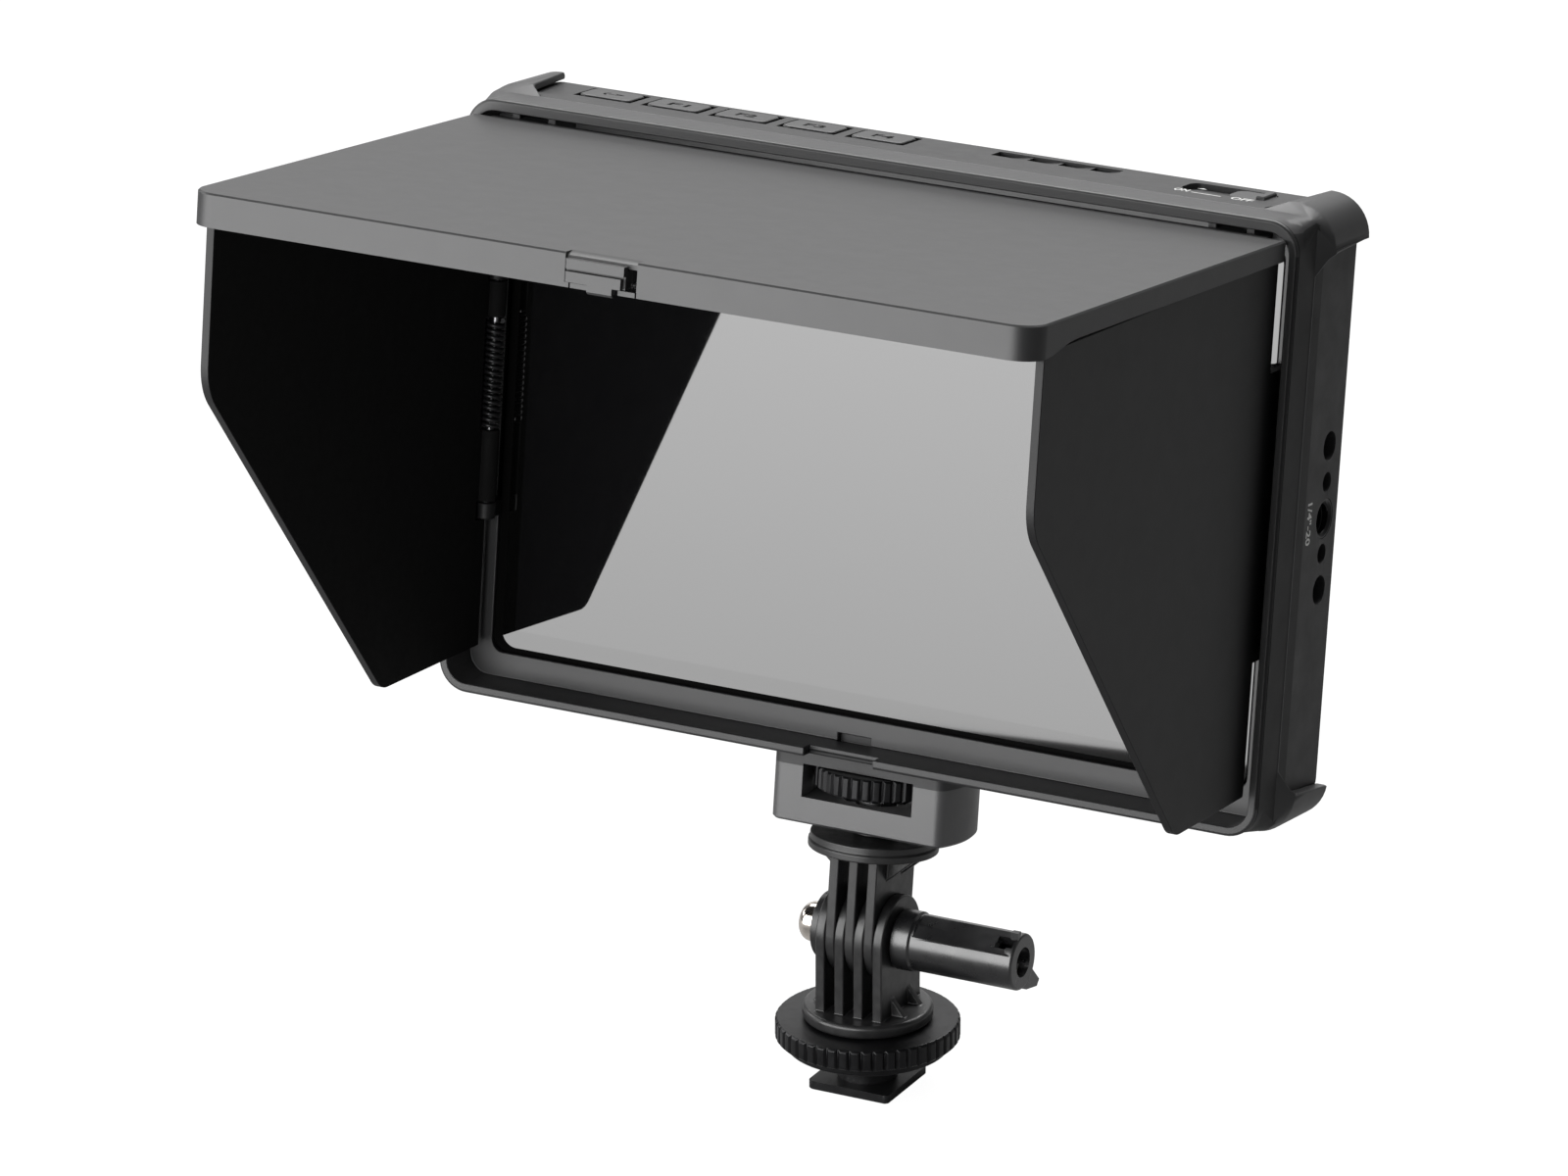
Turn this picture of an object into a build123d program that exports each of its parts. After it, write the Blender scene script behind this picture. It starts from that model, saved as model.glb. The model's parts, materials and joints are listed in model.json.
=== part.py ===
from build123d import *
from math import cos, radians, sin
import os

# Camera field monitor with a folding sun hood on a tilting shoe mount, in millimetres.
#
# The stand is drawn where it stands: +Z up, -Y to the front, origin at the middle of the shoe
# foot's underside.  The head (upper clevis, mount box, monitor and hood) is drawn upright in its
# own frame: X to the right, Y backwards from the hood frame's front face, Z up from its lower
# edge.  Every head piece is set on the tilt axis and leaned back as it is written.

# Tilt joint
TILT_UP = 33.3            # tilt axis above the foot's underside
LEAN = 7.6                # how far the head leans back
TILT_Z = -40.0            # tilt axis in the head frame
STUD_Y = 19.76            # mounting stud's axis in the head frame
PRONG = 2.1               # thickness of one clevis prong
PRONG_STEP = 4.36         # from one prong of a clevis to the next
LOWER_R = 9.0             # round end of the lower prongs
UPPER_R = 8.9             # round end of the upper prongs
BOLT_R = 2.45
RUN = 0.07                # running clearance, radial
GUSSET_WIDE = 1.4
LOWER_GUSSET = (3.0, 3.8, 3.7)    # run, rise, distance from the middle plane
UPPER_GUSSET = (6.3, 5.4, 3.5)

# Stand, heights above the foot's underside
FOOT = 18.5
FOOT_THICK = 1.9
STEM_R = 6.25
WASHER = (8.3, 10.15, 17.0)       # bottom, top, radius
RING = (10.2, 14.6, 19.1)
RING_KNURLS = 48
KNURL_DEEP = 0.55
FLANGE = (14.9, 17.7, 13.5)
FLANGE_STEP = (0.7, 0.35)         # height and inset of the step under the flange

# Clamp
BOSS_R = 7.0
BOSS_OUT = 9.9                    # boss face from the middle plane
NUT_OUT = 14.8
NUT_R = 4.2
COLLAR_IN = 7.7
COLLAR_OUT = 12.3
COLLAR_R = 6.3
BARREL_R = 5.93
BARREL_OUT = 35.3
GRIP_START = 12.7                 # finger flats: start of the run-in, full depth, end
GRIP_FULL = 20.7
GRIP_END = 33.3
GRIP_EDGES = (32.0, 95.0)         # angles of a finger flat's edges, from the front upwards
GRIP_FLOOR_R = 4.95
POCKET_X = (30.4, 34.6)           # pocket at the outer end of a finger flat
HANDLE_BORE_R = 3.15

# Upper clevis and mount box, head frame
DISK_BOTTOM = -22.0
DISK_EDGE = -20.4
DISK_TOP = -18.8
DISK_R = 13.45
DISK_TOP_R = 13.1
NECK_R = 4.3
SPIGOT_R = 3.6
BOX_BOTTOM = -17.1
BOX_SPLIT = -5.0
BOX_TOP = 0.0
BOX_R = 21.0
BOX_FRONT = 10.4
BOX_CORNER = 2.5
WINDOW = (25.0, -11.5, -4.5)      # width, bottom, top
WHEEL = (-9.2, -4.7, 12.9)        # bottom, top, radius
WHEEL_KNURLS = 36
WHEEL_ROOM_R = 13.4
SCREW_R = 3.1
THREAD_R = 3.175                  # 1/4"-20 thread

# Monitor, head frame
WIDE = 184.8
TALL = 124.4
MID_Z = 62.2
CORNER_R = 6.5
SKIN = 0.95                       # bumper band's thickness
BAND_FRONT = 0.85
BAND_BACK = 9.4
GUARD_OUT_X = 2.6
GUARD_OUT_Z = 1.55
GUARD_START = 2.5                 # depth where the corners start to swell
GUARD_FULL = 13.0                 # depth where the guards reach full height
SHELL_FRONT = 13.6
BACK = 30.0
SHELL_TALL = 123.35
SHELL_WIDE = 184.6
SHELL_MID_Z = 62.175
SHELL_TOP = 123.85
WALL = 2.0
GLASS = (173.6, 112.4, 14.5, 15.6)

# Hood, head frame
RIM_WALL = 1.9
TRAY_DEEP = 10.0
TRAY_BACK = 11.6
TRAY_TOP = 122.0
LIGHT = (171.2, 110.0, 2.6)       # opening in the tray's floor
LIGHT_MID_Z = 62.1
NOTCH = (36.0, 94.1)              # hinge notch at both sides of the opening
NOTCH_OUT = 89.3
LID_HALF = 90.2
LID_REAR = 0.3
LID_FRONT = -114.5
LID_TOP = 121.05
LID_UNDER = 119.45
LID_OPEN = 0.67                   # angle of the open lid above level
LID_CORNER_R = 5.6
LIP = 0.95
LIP_LOW = 116.9
LIP_FRONT_LOW = 114.3
LID_AXIS = (2.8, 119.4)
KNUCKLE_R = 1.9
TAB = (74.5, 80.5)
FLAP_IN = 87.1
FLAP_OUT = 88.85
FLAP_AXIS_X = 86.4
FLAP_AXIS_Y = {"left": 5.9, "right": 7.95}
FLAP_TOP = (116.2, 117.15)        # top edge at the front and at the hinge
FLAP_REACH = 114.7                # hinge axis to front edge
FLAP_KNEE = 82.2
FLAP_KNEE_R = 12.0
FLAP_FOOT = (39.0, 7.2)           # end of the slanting edge: in front of the axis, height
FLAP_FOOT_R = 5.5
FLAP_PIN_R = 0.8
FLAP_CLEAR = 2.8                  # flap's edge kept this far from its hinge axis
SPRING_R = 2.2
SPRING_BORE_R = 1.15
SPRING = (55.0, 78.2)
LATCH = (-7.6, 7.7)               # cut-out in the lid's front lip

# Keys, head frame
KEY_FIRST = -77.5
KEY_STEP = 15.5
KEY_WIDE = 11.9
KEY_DEEP = 8.0
KEY_MID_Y = 23.4
KEY_GAP = 0.65
KEY_TOP = 124.1
SWITCH = (57.7, 76.8, 19.0, 26.8)
SWITCH_DEEP = 1.2
SWITCH_R = 2.4
RAMPS = (14.7, 22.2, 29.1, 36.0, 42.0)
SIDE_Y = 23.5
SIDE_HOLES = ((76.15, 2.95), (68.8, 2.0), (54.2, 2.0), (46.75, 2.95))
SIDE_THREAD_Z = 61.35

LEANED = Pos(0, 0, TILT_UP) * Rot(-LEAN, 0, 0) * Pos(0, -STUD_Y, -TILT_Z)
OPENED = LEANED * Pos(0, *LID_AXIS) * Rot(-LID_OPEN, 0, 0) * Pos(0, -LID_AXIS[0], -LID_AXIS[1])

os.makedirs("parts", exist_ok=True)


def facing(depth):
    """Plane parallel to the screen, at a depth behind the hood frame's front face."""
    return Plane.XZ.offset(-depth)


def slab(width, height, radius, front, back, mode=Mode.ADD, mid_z=MID_Z):
    """Rounded rectangle parallel to the screen, between two depths."""
    with BuildSketch(facing(front)) as outline:
        with Locations((0, mid_z)):
            RectangleRounded(width, height, radius)
    extrude(outline.sketch, amount=front - back, mode=mode)


def block(x, y, z, mode=Mode.ADD):
    """Box between three pairs of coordinates."""
    middle = ((x[0] + x[1]) / 2, (y[0] + y[1]) / 2, (z[0] + z[1]) / 2)
    with Locations(middle):
        Box(x[1] - x[0], y[1] - y[0], z[1] - z[0], mode=mode)


def rod_x(x, y, z, radius, mode=Mode.ADD):
    """Round bar along X."""
    with Locations(((x[0] + x[1]) / 2, y, z)):
        Cylinder(radius, x[1] - x[0], rotation=(0, 90, 0), mode=mode)


def rod_y(x, y, z, radius, mode=Mode.ADD):
    """Round bar along Y."""
    with Locations((x, (y[0] + y[1]) / 2, z)):
        Cylinder(radius, y[1] - y[0], rotation=(90, 0, 0), mode=mode)


def rod_z(x, y, z, radius, mode=Mode.ADD):
    """Round bar along Z."""
    with Locations((x, y, (z[0] + z[1]) / 2)):
        Cylinder(radius, z[1] - z[0], mode=mode)


def gusset(side, face, level, size, y, up):
    """Three-cornered rib between a prong's face and the disk above or below it."""
    run, rise, _ = size
    with BuildSketch(facing(y - GUSSET_WIDE / 2)) as rib:
        with BuildLine():
            Polyline(
                (side * (face - 0.5), level - 0.5 * up), (side * (face + run), level - 0.5 * up),
                (side * (face + run), level), (side * face, level + rise * up),
                (side * (face - 0.5), level + rise * up), close=True,
            )
        make_face()
    extrude(rib.sketch, amount=-GUSSET_WIDE)


def knurls(radius, bottom, top, count):
    """V-grooves round an upright wheel."""
    with BuildSketch(Plane.XY.offset(bottom)) as grooves:
        with PolarLocations(radius, count):
            Rectangle(KNURL_DEEP * 1.5, KNURL_DEEP * 1.5, rotation=45)
    extrude(grooves.sketch, amount=top - bottom, mode=Mode.SUBTRACT)


# ---------------------------------------------------------------- stand: foot, washer and ring
with BuildPart() as shoe_foot:
    with BuildSketch() as foot_plan:
        RectangleRounded(FOOT, FOOT, 1.2)
    extrude(amount=FOOT_THICK)
    chamfer(shoe_foot.faces().sort_by(Axis.Z)[0].edges(), 0.25)
    rod_z(0, 0, (FOOT_THICK, FLANGE[0]), STEM_R)
    rod_z(0, 0, (FLANGE[0], FLANGE[0] + 2.0), STEM_R / 2)
shoe_foot.part.label = "shoe_foot"
export_step(shoe_foot.part, "parts/shoe_foot.step")

with BuildPart() as shoe_washer:
    rod_z(0, 0, WASHER[:2], WASHER[2])
    chamfer(shoe_washer.edges().filter_by(GeomType.CIRCLE), 0.3)
    rod_z(0, 0, WASHER[:2], STEM_R + RUN, mode=Mode.SUBTRACT)
shoe_washer.part.label = "shoe_washer"
export_step(shoe_washer.part, "parts/shoe_washer.step")

with BuildPart() as lock_ring:
    rod_z(0, 0, RING[:2], RING[2])
    chamfer(lock_ring.edges().filter_by(GeomType.CIRCLE), 0.45)
    knurls(RING[2], RING[0], RING[1], RING_KNURLS)
    rod_z(0, 0, RING[:2], STEM_R + RUN, mode=Mode.SUBTRACT)
lock_ring.part.label = "lock_ring"
export_step(lock_ring.part, "parts/lock_ring.step")

# ---------------------------------------------------------------- stand: lower clevis and clamp
LOWER_PRONGS = tuple(PRONG_STEP * (i - 1.5) for i in range(4))
UPPER_PRONGS = tuple(PRONG_STEP * (i - 1) for i in range(3))

with BuildPart() as lower_clevis:
    rod_z(0, 0, (FLANGE[0], FLANGE[1]), FLANGE[2])
    chamfer(lower_clevis.faces().sort_by(Axis.Z)[-1].edges(), 0.6)
    chamfer(lower_clevis.faces().sort_by(Axis.Z)[0].edges(), *FLANGE_STEP)
    for x in LOWER_PRONGS:
        block((x - PRONG / 2, x + PRONG / 2), (-LOWER_R, LOWER_R), (FLANGE[1], TILT_UP))
        rod_x((x - PRONG / 2, x + PRONG / 2), 0, TILT_UP, LOWER_R)
    prong_face = LOWER_PRONGS[-1] + PRONG / 2
    for side in (-1, 1):
        for y in (-LOWER_GUSSET[2], LOWER_GUSSET[2]):
            gusset(side, prong_face, FLANGE[1], LOWER_GUSSET, y, up=1)
    rod_x((-BOSS_OUT, -prong_face + 0.5), 0, TILT_UP, BOSS_R)
    rod_x((-BOSS_OUT, prong_face), 0, TILT_UP, BOLT_R + RUN, mode=Mode.SUBTRACT)
    rod_z(0, 0, (FLANGE[0], FLANGE[0] + 2.0), STEM_R / 2, mode=Mode.SUBTRACT)
lower_clevis.part.label = "lower_clevis"
export_step(lower_clevis.part, "parts/lower_clevis.step")

with BuildPart() as pivot_nut:
    rod_x((-NUT_OUT, -BOSS_OUT), 0, TILT_UP, NUT_R)
    fillet(pivot_nut.edges().filter_by(GeomType.CIRCLE).sort_by(Axis.X)[0], 2.6)
    rod_x((-BOSS_OUT - 3.2, -BOSS_OUT), 0, TILT_UP, BOLT_R + RUN, mode=Mode.SUBTRACT)
pivot_nut.part.label = "pivot_nut"
export_step(pivot_nut.part, "parts/pivot_nut.step")

with BuildPart() as clamp_bolt:
    rod_x((-BOSS_OUT - 3.0, 22.0), 0, TILT_UP, BOLT_R)
clamp_bolt.part.label = "clamp_bolt"
export_step(clamp_bolt.part, "parts/clamp_bolt.step")

GRIP_MIDDLE = -sum(GRIP_EDGES) / 2


def grip_line(x, floor_r, turn):
    """Cross-section of the finger flat's V, open to the outside, at one place along the grip."""
    def at(radius, angle):
        spot = radians(angle + turn)
        return (-radius * cos(spot), TILT_UP + radius * sin(spot))

    low, high = GRIP_EDGES
    middle = (low + high) / 2
    with BuildSketch(Plane.YZ.offset(x)) as vee:
        with BuildLine():
            Polyline(
                at(BARREL_R, low), at(floor_r, middle), at(BARREL_R, high),
                at(BARREL_R + 2.0, high), at(BARREL_R + 3.0, middle), at(BARREL_R + 2.0, low),
                close=True,
            )
        make_face()
    return vee.sketch


with BuildPart() as clamp_handle:
    rod_x((COLLAR_IN, COLLAR_OUT), 0, TILT_UP, COLLAR_R)
    chamfer(clamp_handle.edges().filter_by(GeomType.CIRCLE), 0.5)
    rod_x((COLLAR_OUT, BARREL_OUT), 0, TILT_UP, BARREL_R)
    fillet(clamp_handle.edges().filter_by(GeomType.CIRCLE).sort_by(Axis.X)[-1], 0.6)
    # finger flats on two opposite sides, run in from the collar, with a pocket at the end
    for turn in (0, 180):
        shallow = grip_line(GRIP_START, BARREL_R - 0.02, turn)
        deep = grip_line(GRIP_FULL, GRIP_FLOOR_R, turn)
        loft([shallow, deep], ruled=True, mode=Mode.SUBTRACT)
        extrude(deep, amount=GRIP_END - GRIP_FULL, dir=(1, 0, 0), mode=Mode.SUBTRACT)
    with Locations(Location((sum(POCKET_X) / 2, 0, TILT_UP), (GRIP_MIDDLE, 0, 0))):
        Box(POCKET_X[1] - POCKET_X[0], 2 * BARREL_R + 1, 3.2, mode=Mode.SUBTRACT)
    with BuildSketch(Plane.YZ.offset(BARREL_OUT - 2.2)) as lug:
        with BuildLine():
            Polyline(
                (4.2, TILT_UP - 2.6), (8.1, TILT_UP - 6.7), (7.0, TILT_UP - 7.9),
                (2.0, TILT_UP - 6.8), (-2.2, TILT_UP - 4.8), (0, TILT_UP), close=True,
            )
        make_face()
    extrude(amount=2.0)
    with Locations((BARREL_OUT - 1.0, -1.3, TILT_UP + 6.2)):
        Box(1.6, 1.4, 1.6)
    rod_x((BARREL_OUT - 10.0, BARREL_OUT), 0, TILT_UP, HANDLE_BORE_R, mode=Mode.SUBTRACT)
    rod_x((COLLAR_IN, 22.0), 0, TILT_UP, BOLT_R, mode=Mode.SUBTRACT)
clamp_handle.part.label = "clamp_handle"
export_step(clamp_handle.part, "parts/clamp_handle.step")

# ---------------------------------------------------------------- arm: upper clevis and its screw
with BuildPart() as upper_clevis:
    rod_z(0, STUD_Y, (DISK_BOTTOM, DISK_EDGE), DISK_R)
    rod_z(0, STUD_Y, (DISK_EDGE, DISK_TOP), DISK_TOP_R)
    rod_z(0, STUD_Y, (DISK_TOP, BOX_BOTTOM - 0.1), NECK_R)
    rod_z(0, STUD_Y, (BOX_BOTTOM - 0.1, -13.8), SPIGOT_R)
    for x in UPPER_PRONGS:
        across = (x - PRONG / 2, x + PRONG / 2)
        block(across, (STUD_Y - UPPER_R, STUD_Y + UPPER_R), (TILT_Z, DISK_BOTTOM))
        rod_x(across, STUD_Y, TILT_Z, UPPER_R)
    upper_face = UPPER_PRONGS[-1] + PRONG / 2
    for side in (-1, 1):
        for y in (STUD_Y - UPPER_GUSSET[2], STUD_Y + UPPER_GUSSET[2]):
            gusset(side, upper_face, DISK_BOTTOM, UPPER_GUSSET, y, up=-1)
    rod_x((-upper_face, upper_face), STUD_Y, TILT_Z, BOLT_R + RUN, mode=Mode.SUBTRACT)
    rod_z(0, STUD_Y, (DISK_TOP - 2.0, -13.8), 1.4, mode=Mode.SUBTRACT)
upper_clevis.part.label = "upper_clevis"
export_step(upper_clevis.part.moved(LEANED), "parts/upper_clevis.step")

with BuildPart() as swivel_screw:
    rod_z(0, STUD_Y, (-13.8, -13.0), 6.2)
    rod_z(0, STUD_Y, (-13.0, -11.7), 4.2)
    rod_z(0, STUD_Y, (DISK_TOP - 2.0, -13.8), 1.4)
    with Locations((0, STUD_Y, -12.1)):
        Box(5.0, 1.0, 0.8, mode=Mode.SUBTRACT)
        Box(1.0, 5.0, 0.8, mode=Mode.SUBTRACT)
swivel_screw.part.label = "swivel_screw"
export_step(swivel_screw.part.moved(LEANED), "parts/swivel_screw.step")


# ---------------------------------------------------------------- mount box under the monitor
def box_plan(bottom, top):
    """Round box with its front and back cut flat, between two heights."""
    with BuildSketch(Plane.XY.offset(bottom)) as plan:
        with Locations((0, STUD_Y)):
            Circle(BOX_R)
            Rectangle(2 * BOX_R, 2 * (STUD_Y - BOX_FRONT), mode=Mode.INTERSECT)
        fillet(plan.vertices(), BOX_CORNER)
    extrude(plan.sketch, amount=top - bottom)


with BuildPart() as mount_box:
    box_plan(BOX_BOTTOM, BOX_SPLIT)
    chamfer(mount_box.faces().sort_by(Axis.Z)[0].edges(), 0.5)
    rod_z(0, STUD_Y, (WINDOW[1], BOX_SPLIT), WHEEL_ROOM_R, mode=Mode.SUBTRACT)
    block(
        (-WINDOW[0] / 2, WINDOW[0] / 2), (BOX_FRONT - 1, 2 * STUD_Y - BOX_FRONT + 1),
        (WINDOW[1], BOX_SPLIT), mode=Mode.SUBTRACT,
    )
    rod_z(0, STUD_Y, (-13.9, WINDOW[1]), 7.0, mode=Mode.SUBTRACT)
    rod_z(0, STUD_Y, (BOX_BOTTOM, -13.9), SPIGOT_R + RUN, mode=Mode.SUBTRACT)
mount_box.part.label = "mount_box"
export_step(mount_box.part.moved(LEANED), "parts/mount_box.step")

with BuildPart() as mount_cover:
    box_plan(BOX_SPLIT, BOX_TOP)
    rod_z(0, STUD_Y, (BOX_SPLIT, WINDOW[2]), WHEEL_ROOM_R, mode=Mode.SUBTRACT)
    block(
        (-WINDOW[0] / 2, WINDOW[0] / 2), (BOX_FRONT - 1, 2 * STUD_Y - BOX_FRONT + 1),
        (BOX_SPLIT, WINDOW[2]), mode=Mode.SUBTRACT,
    )
    rod_z(0, STUD_Y, (WINDOW[2], BOX_TOP), SCREW_R + 0.3, mode=Mode.SUBTRACT)
mount_cover.part.label = "mount_cover"
export_step(mount_cover.part.moved(LEANED), "parts/mount_cover.step")

with BuildPart() as thumbwheel:
    rod_z(0, 0, WHEEL[:2], WHEEL[2])
    chamfer(thumbwheel.edges().filter_by(GeomType.CIRCLE), 0.35)
    knurls(WHEEL[2], WHEEL[0], WHEEL[1], WHEEL_KNURLS)
    rod_z(0, 0, WHEEL[:2], SCREW_R, mode=Mode.SUBTRACT)
thumbwheel.part.label = "thumbwheel"
export_step(thumbwheel.part.moved(LEANED * Pos(0, STUD_Y, 0)), "parts/thumbwheel.step")

with BuildPart() as mount_screw:
    rod_z(0, STUD_Y, (WHEEL[0], 6.2), SCREW_R)
    chamfer(mount_screw.edges().filter_by(GeomType.CIRCLE).sort_by(Axis.Z)[-1], 0.5)
mount_screw.part.label = "mount_screw"
export_step(mount_screw.part.moved(LEANED), "parts/mount_screw.step")

# ---------------------------------------------------------------- monitor: bumper
# Guard ends, as the line of each end over depth: (depth, height) at the sides and
# (depth, half width) on the top and underside.
SIDE_ENDS = ((30.5, 117.7), (12.5, 116.8), (BAND_BACK, 112.5))
SIDE_ENDS_LOW = ((30.5, 5.6), (12.8, 7.4), (BAND_BACK, 12.5))
TOP_ENDS = ((30.5, 86.1), (13.0, 84.3), (BAND_BACK, 80.5))


def guard_gap(plane, line, mirrored, reach, bend):
    """Cut the guard ring back between two mirrored guard ends."""
    with BuildSketch(plane) as gap:
        with BuildLine():
            Polyline(*line, *reversed(mirrored), close=True)
        make_face()
        ends = gap.vertices().filter_by_position(Axis.X, 12.0, 13.5)
        if len(ends) == 0:
            ends = gap.vertices().filter_by_position(Axis.Y, 12.0, 13.5)
        fillet(ends, bend)
    extrude(gap.sketch, amount=reach, both=True, mode=Mode.SUBTRACT)


with BuildPart() as bumper:
    guard_wide = WIDE + 2 * GUARD_OUT_X
    guard_tall = TALL + 2 * GUARD_OUT_Z
    guard_r = CORNER_R + 1.8
    swell = (
        (GUARD_START, WIDE - 0.3, TALL - 0.3, CORNER_R - 0.15),
        (BAND_BACK - 0.4, WIDE + 0.02, TALL + 0.02, 2.4),
        (GUARD_FULL, guard_wide, guard_tall, guard_r),
    )
    for depth, across, height, radius in swell:
        with BuildSketch(facing(depth)):
            with Locations((0, MID_Z)):
                RectangleRounded(across, height, radius)
    loft(ruled=True)
    slab(guard_wide, guard_tall, guard_r, GUARD_FULL, BACK)
    chamfer(bumper.faces().sort_by(Axis.Y)[-1].edges(), 0.7)
    slab(WIDE, TALL, CORNER_R, 0, BACK, mode=Mode.SUBTRACT)
    guard_gap(Plane.YZ, SIDE_ENDS, SIDE_ENDS_LOW, WIDE, 4.0)
    guard_gap(Plane.XY, [(x, y) for y, x in TOP_ENDS], [(-x, y) for y, x in TOP_ENDS],
              TALL * 2, 3.0)
    slab(WIDE, TALL, CORNER_R, BAND_FRONT, BAND_BACK)
    slab(
        WIDE - 2 * SKIN, TALL - 2 * SKIN, CORNER_R - SKIN, BAND_FRONT, BAND_BACK,
        mode=Mode.SUBTRACT,
    )
    block((-7.6, 8.0), (0, 3.0), (-1, SKIN + 1), mode=Mode.SUBTRACT)
bumper.part.label = "bumper"
export_step(bumper.part.moved(LEANED), "parts/bumper.step")

# ---------------------------------------------------------------- monitor: housing
with BuildPart() as front_housing:
    slab(WIDE, TALL, CORNER_R, BAND_BACK, SHELL_FRONT)
    slab(WIDE - 2.6, TALL - 2.6, CORNER_R - 1.3, BAND_BACK, TRAY_BACK, mode=Mode.SUBTRACT)
    slab(
        SHELL_WIDE - 2 * WALL - 0.1, SHELL_TALL - 2 * WALL - 0.1, CORNER_R - WALL,
        SHELL_FRONT, GLASS[3], mid_z=SHELL_MID_Z,
    )
    slab(GLASS[0] + 0.2, GLASS[1] + 0.2, 2.6, BAND_BACK, GLASS[3] + 1, mode=Mode.SUBTRACT,
         mid_z=LIGHT_MID_Z)
front_housing.part.label = "front_housing"
export_step(front_housing.part.moved(LEANED), "parts/front_housing.step")

POCKET = (44.0, 66.0, 3.0)        # battery plate's pocket: width, height, depth
SCREW_SPOTS = [(x, z) for x in (-80, 0, 80) for z in (9.0, 111.0)]
PORTS = {"hdmi": (80.0, 58.0), "dc": 38.0, "audio": 24.0}
HDMI = (15.4, 6.0)                # opening's height and depth
PORT_Y = 23.5
RELEASE = (28.0, 36.0, 3.6)       # battery release: across, height, radius

with BuildPart() as rear_shell:
    slab(SHELL_WIDE, SHELL_TALL, CORNER_R - 0.2, SHELL_FRONT, BACK, mid_z=SHELL_MID_Z)
    chamfer(rear_shell.faces().sort_by(Axis.Y)[-1].edges(), 0.45)
    slab(
        SHELL_WIDE - 2 * WALL, SHELL_TALL - 2 * WALL, CORNER_R - WALL, SHELL_FRONT,
        BACK - WALL, mode=Mode.SUBTRACT, mid_z=SHELL_MID_Z,
    )
    # bosses for the inserts, the battery pocket, the board and the case screws
    block((82.0, 91.0), (19.9, BACK - 1), (41.0, 82.0))
    block((-9.0, 9.0), (16.0, BACK - 1), (1.5, 10.5))
    block((-24.0, 24.0), (24.0, BACK - 1), (LIGHT_MID_Z - 35.0, LIGHT_MID_Z + 35.0))
    for x in (-70, 62):
        for z in (22.0, 100.0):
            rod_y(x, (20.9, BACK - 1), z, 3.0)
    for x, z in SCREW_SPOTS:
        rod_y(x, (21.0 if x else 24.0, BACK - 1), z, 3.4)
        rod_y(x, (25.0, BACK + 1), z, 1.2, mode=Mode.SUBTRACT)
        rod_y(x, (BACK - 1.5, BACK + 1), z, 2.4, mode=Mode.SUBTRACT)
    block(
        (-POCKET[0] / 2, POCKET[0] / 2), (BACK - POCKET[2], BACK + 1),
        (LIGHT_MID_Z - POCKET[1] / 2, LIGHT_MID_Z + POCKET[1] / 2), mode=Mode.SUBTRACT,
    )
    # side holes and thread insert's seat
    for z, radius in SIDE_HOLES:
        rod_x((86.0, 93.0), SIDE_Y, z, radius, mode=Mode.SUBTRACT)
    rod_x((84.0, 93.0), SIDE_Y, SIDE_THREAD_Z, 4.1, mode=Mode.SUBTRACT)
    rod_z(0, STUD_Y, (0, 8.5), 4.1, mode=Mode.SUBTRACT)
    # keys, ramps and switch recess on top
    for i in range(5):
        left = KEY_FIRST + KEY_STEP * i - KEY_GAP
        block(
            (left, left + KEY_WIDE + 2 * KEY_GAP),
            (KEY_MID_Y - KEY_DEEP / 2 - KEY_GAP, KEY_MID_Y + KEY_DEEP / 2 + KEY_GAP),
            (SHELL_TOP - 4, SHELL_TOP + 1), mode=Mode.SUBTRACT,
        )
    for start, end in zip(RAMPS[:-1], RAMPS[1:]):
        with BuildSketch(facing(22.8)) as ramp:
            with BuildLine():
                Polyline(
                    (start, SHELL_TOP + 1), (start, SHELL_TOP - 1.3), (end, SHELL_TOP - 0.25),
                    (end, SHELL_TOP + 1), close=True,
                )
            make_face()
        extrude(amount=-4.5, mode=Mode.SUBTRACT)
    with BuildSketch(Plane.XY.offset(SHELL_TOP - SWITCH_DEEP)) as recess:
        with Locations(((SWITCH[0] + SWITCH[1]) / 2, (SWITCH[2] + SWITCH[3]) / 2)):
            RectangleRounded(SWITCH[1] - SWITCH[0], SWITCH[3] - SWITCH[2], SWITCH_R)
    extrude(amount=SWITCH_DEEP + 1, mode=Mode.SUBTRACT)
    block((60.4, 74.6), (21.7, 24.1), (SHELL_TOP - 3, SHELL_TOP), mode=Mode.SUBTRACT)
    # sockets on the left side and the battery release's opening
    for z in PORTS["hdmi"]:
        block(
            (-93.0, -89.0), (PORT_Y - HDMI[1] / 2, PORT_Y + HDMI[1] / 2),
            (z - HDMI[0] / 2, z + HDMI[0] / 2), mode=Mode.SUBTRACT,
        )
    rod_x((-93.0, -89.0), PORT_Y, PORTS["dc"], 4.3, mode=Mode.SUBTRACT)
    rod_x((-93.0, -89.0), PORT_Y, PORTS["audio"], 3.3, mode=Mode.SUBTRACT)
    rod_y(RELEASE[0], (BACK - 3, BACK + 1), RELEASE[1], RELEASE[2] + 0.3, mode=Mode.SUBTRACT)
rear_shell.part.label = "rear_shell"
export_step(rear_shell.part.moved(LEANED), "parts/rear_shell.step")

with BuildPart() as cover_glass:
    slab(GLASS[0], GLASS[1], 2.5, GLASS[2], GLASS[3], mid_z=LIGHT_MID_Z)
cover_glass.part.label = "cover_glass"
export_step(cover_glass.part.moved(LEANED), "parts/cover_glass.step")

# ---------------------------------------------------------------- monitor: screen and electronics
LCD = (160.0, 100.0, 17.4)        # width, height, back
BACKLIGHT_BACK = 19.4
BOARD = (19.6, 20.8)

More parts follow.
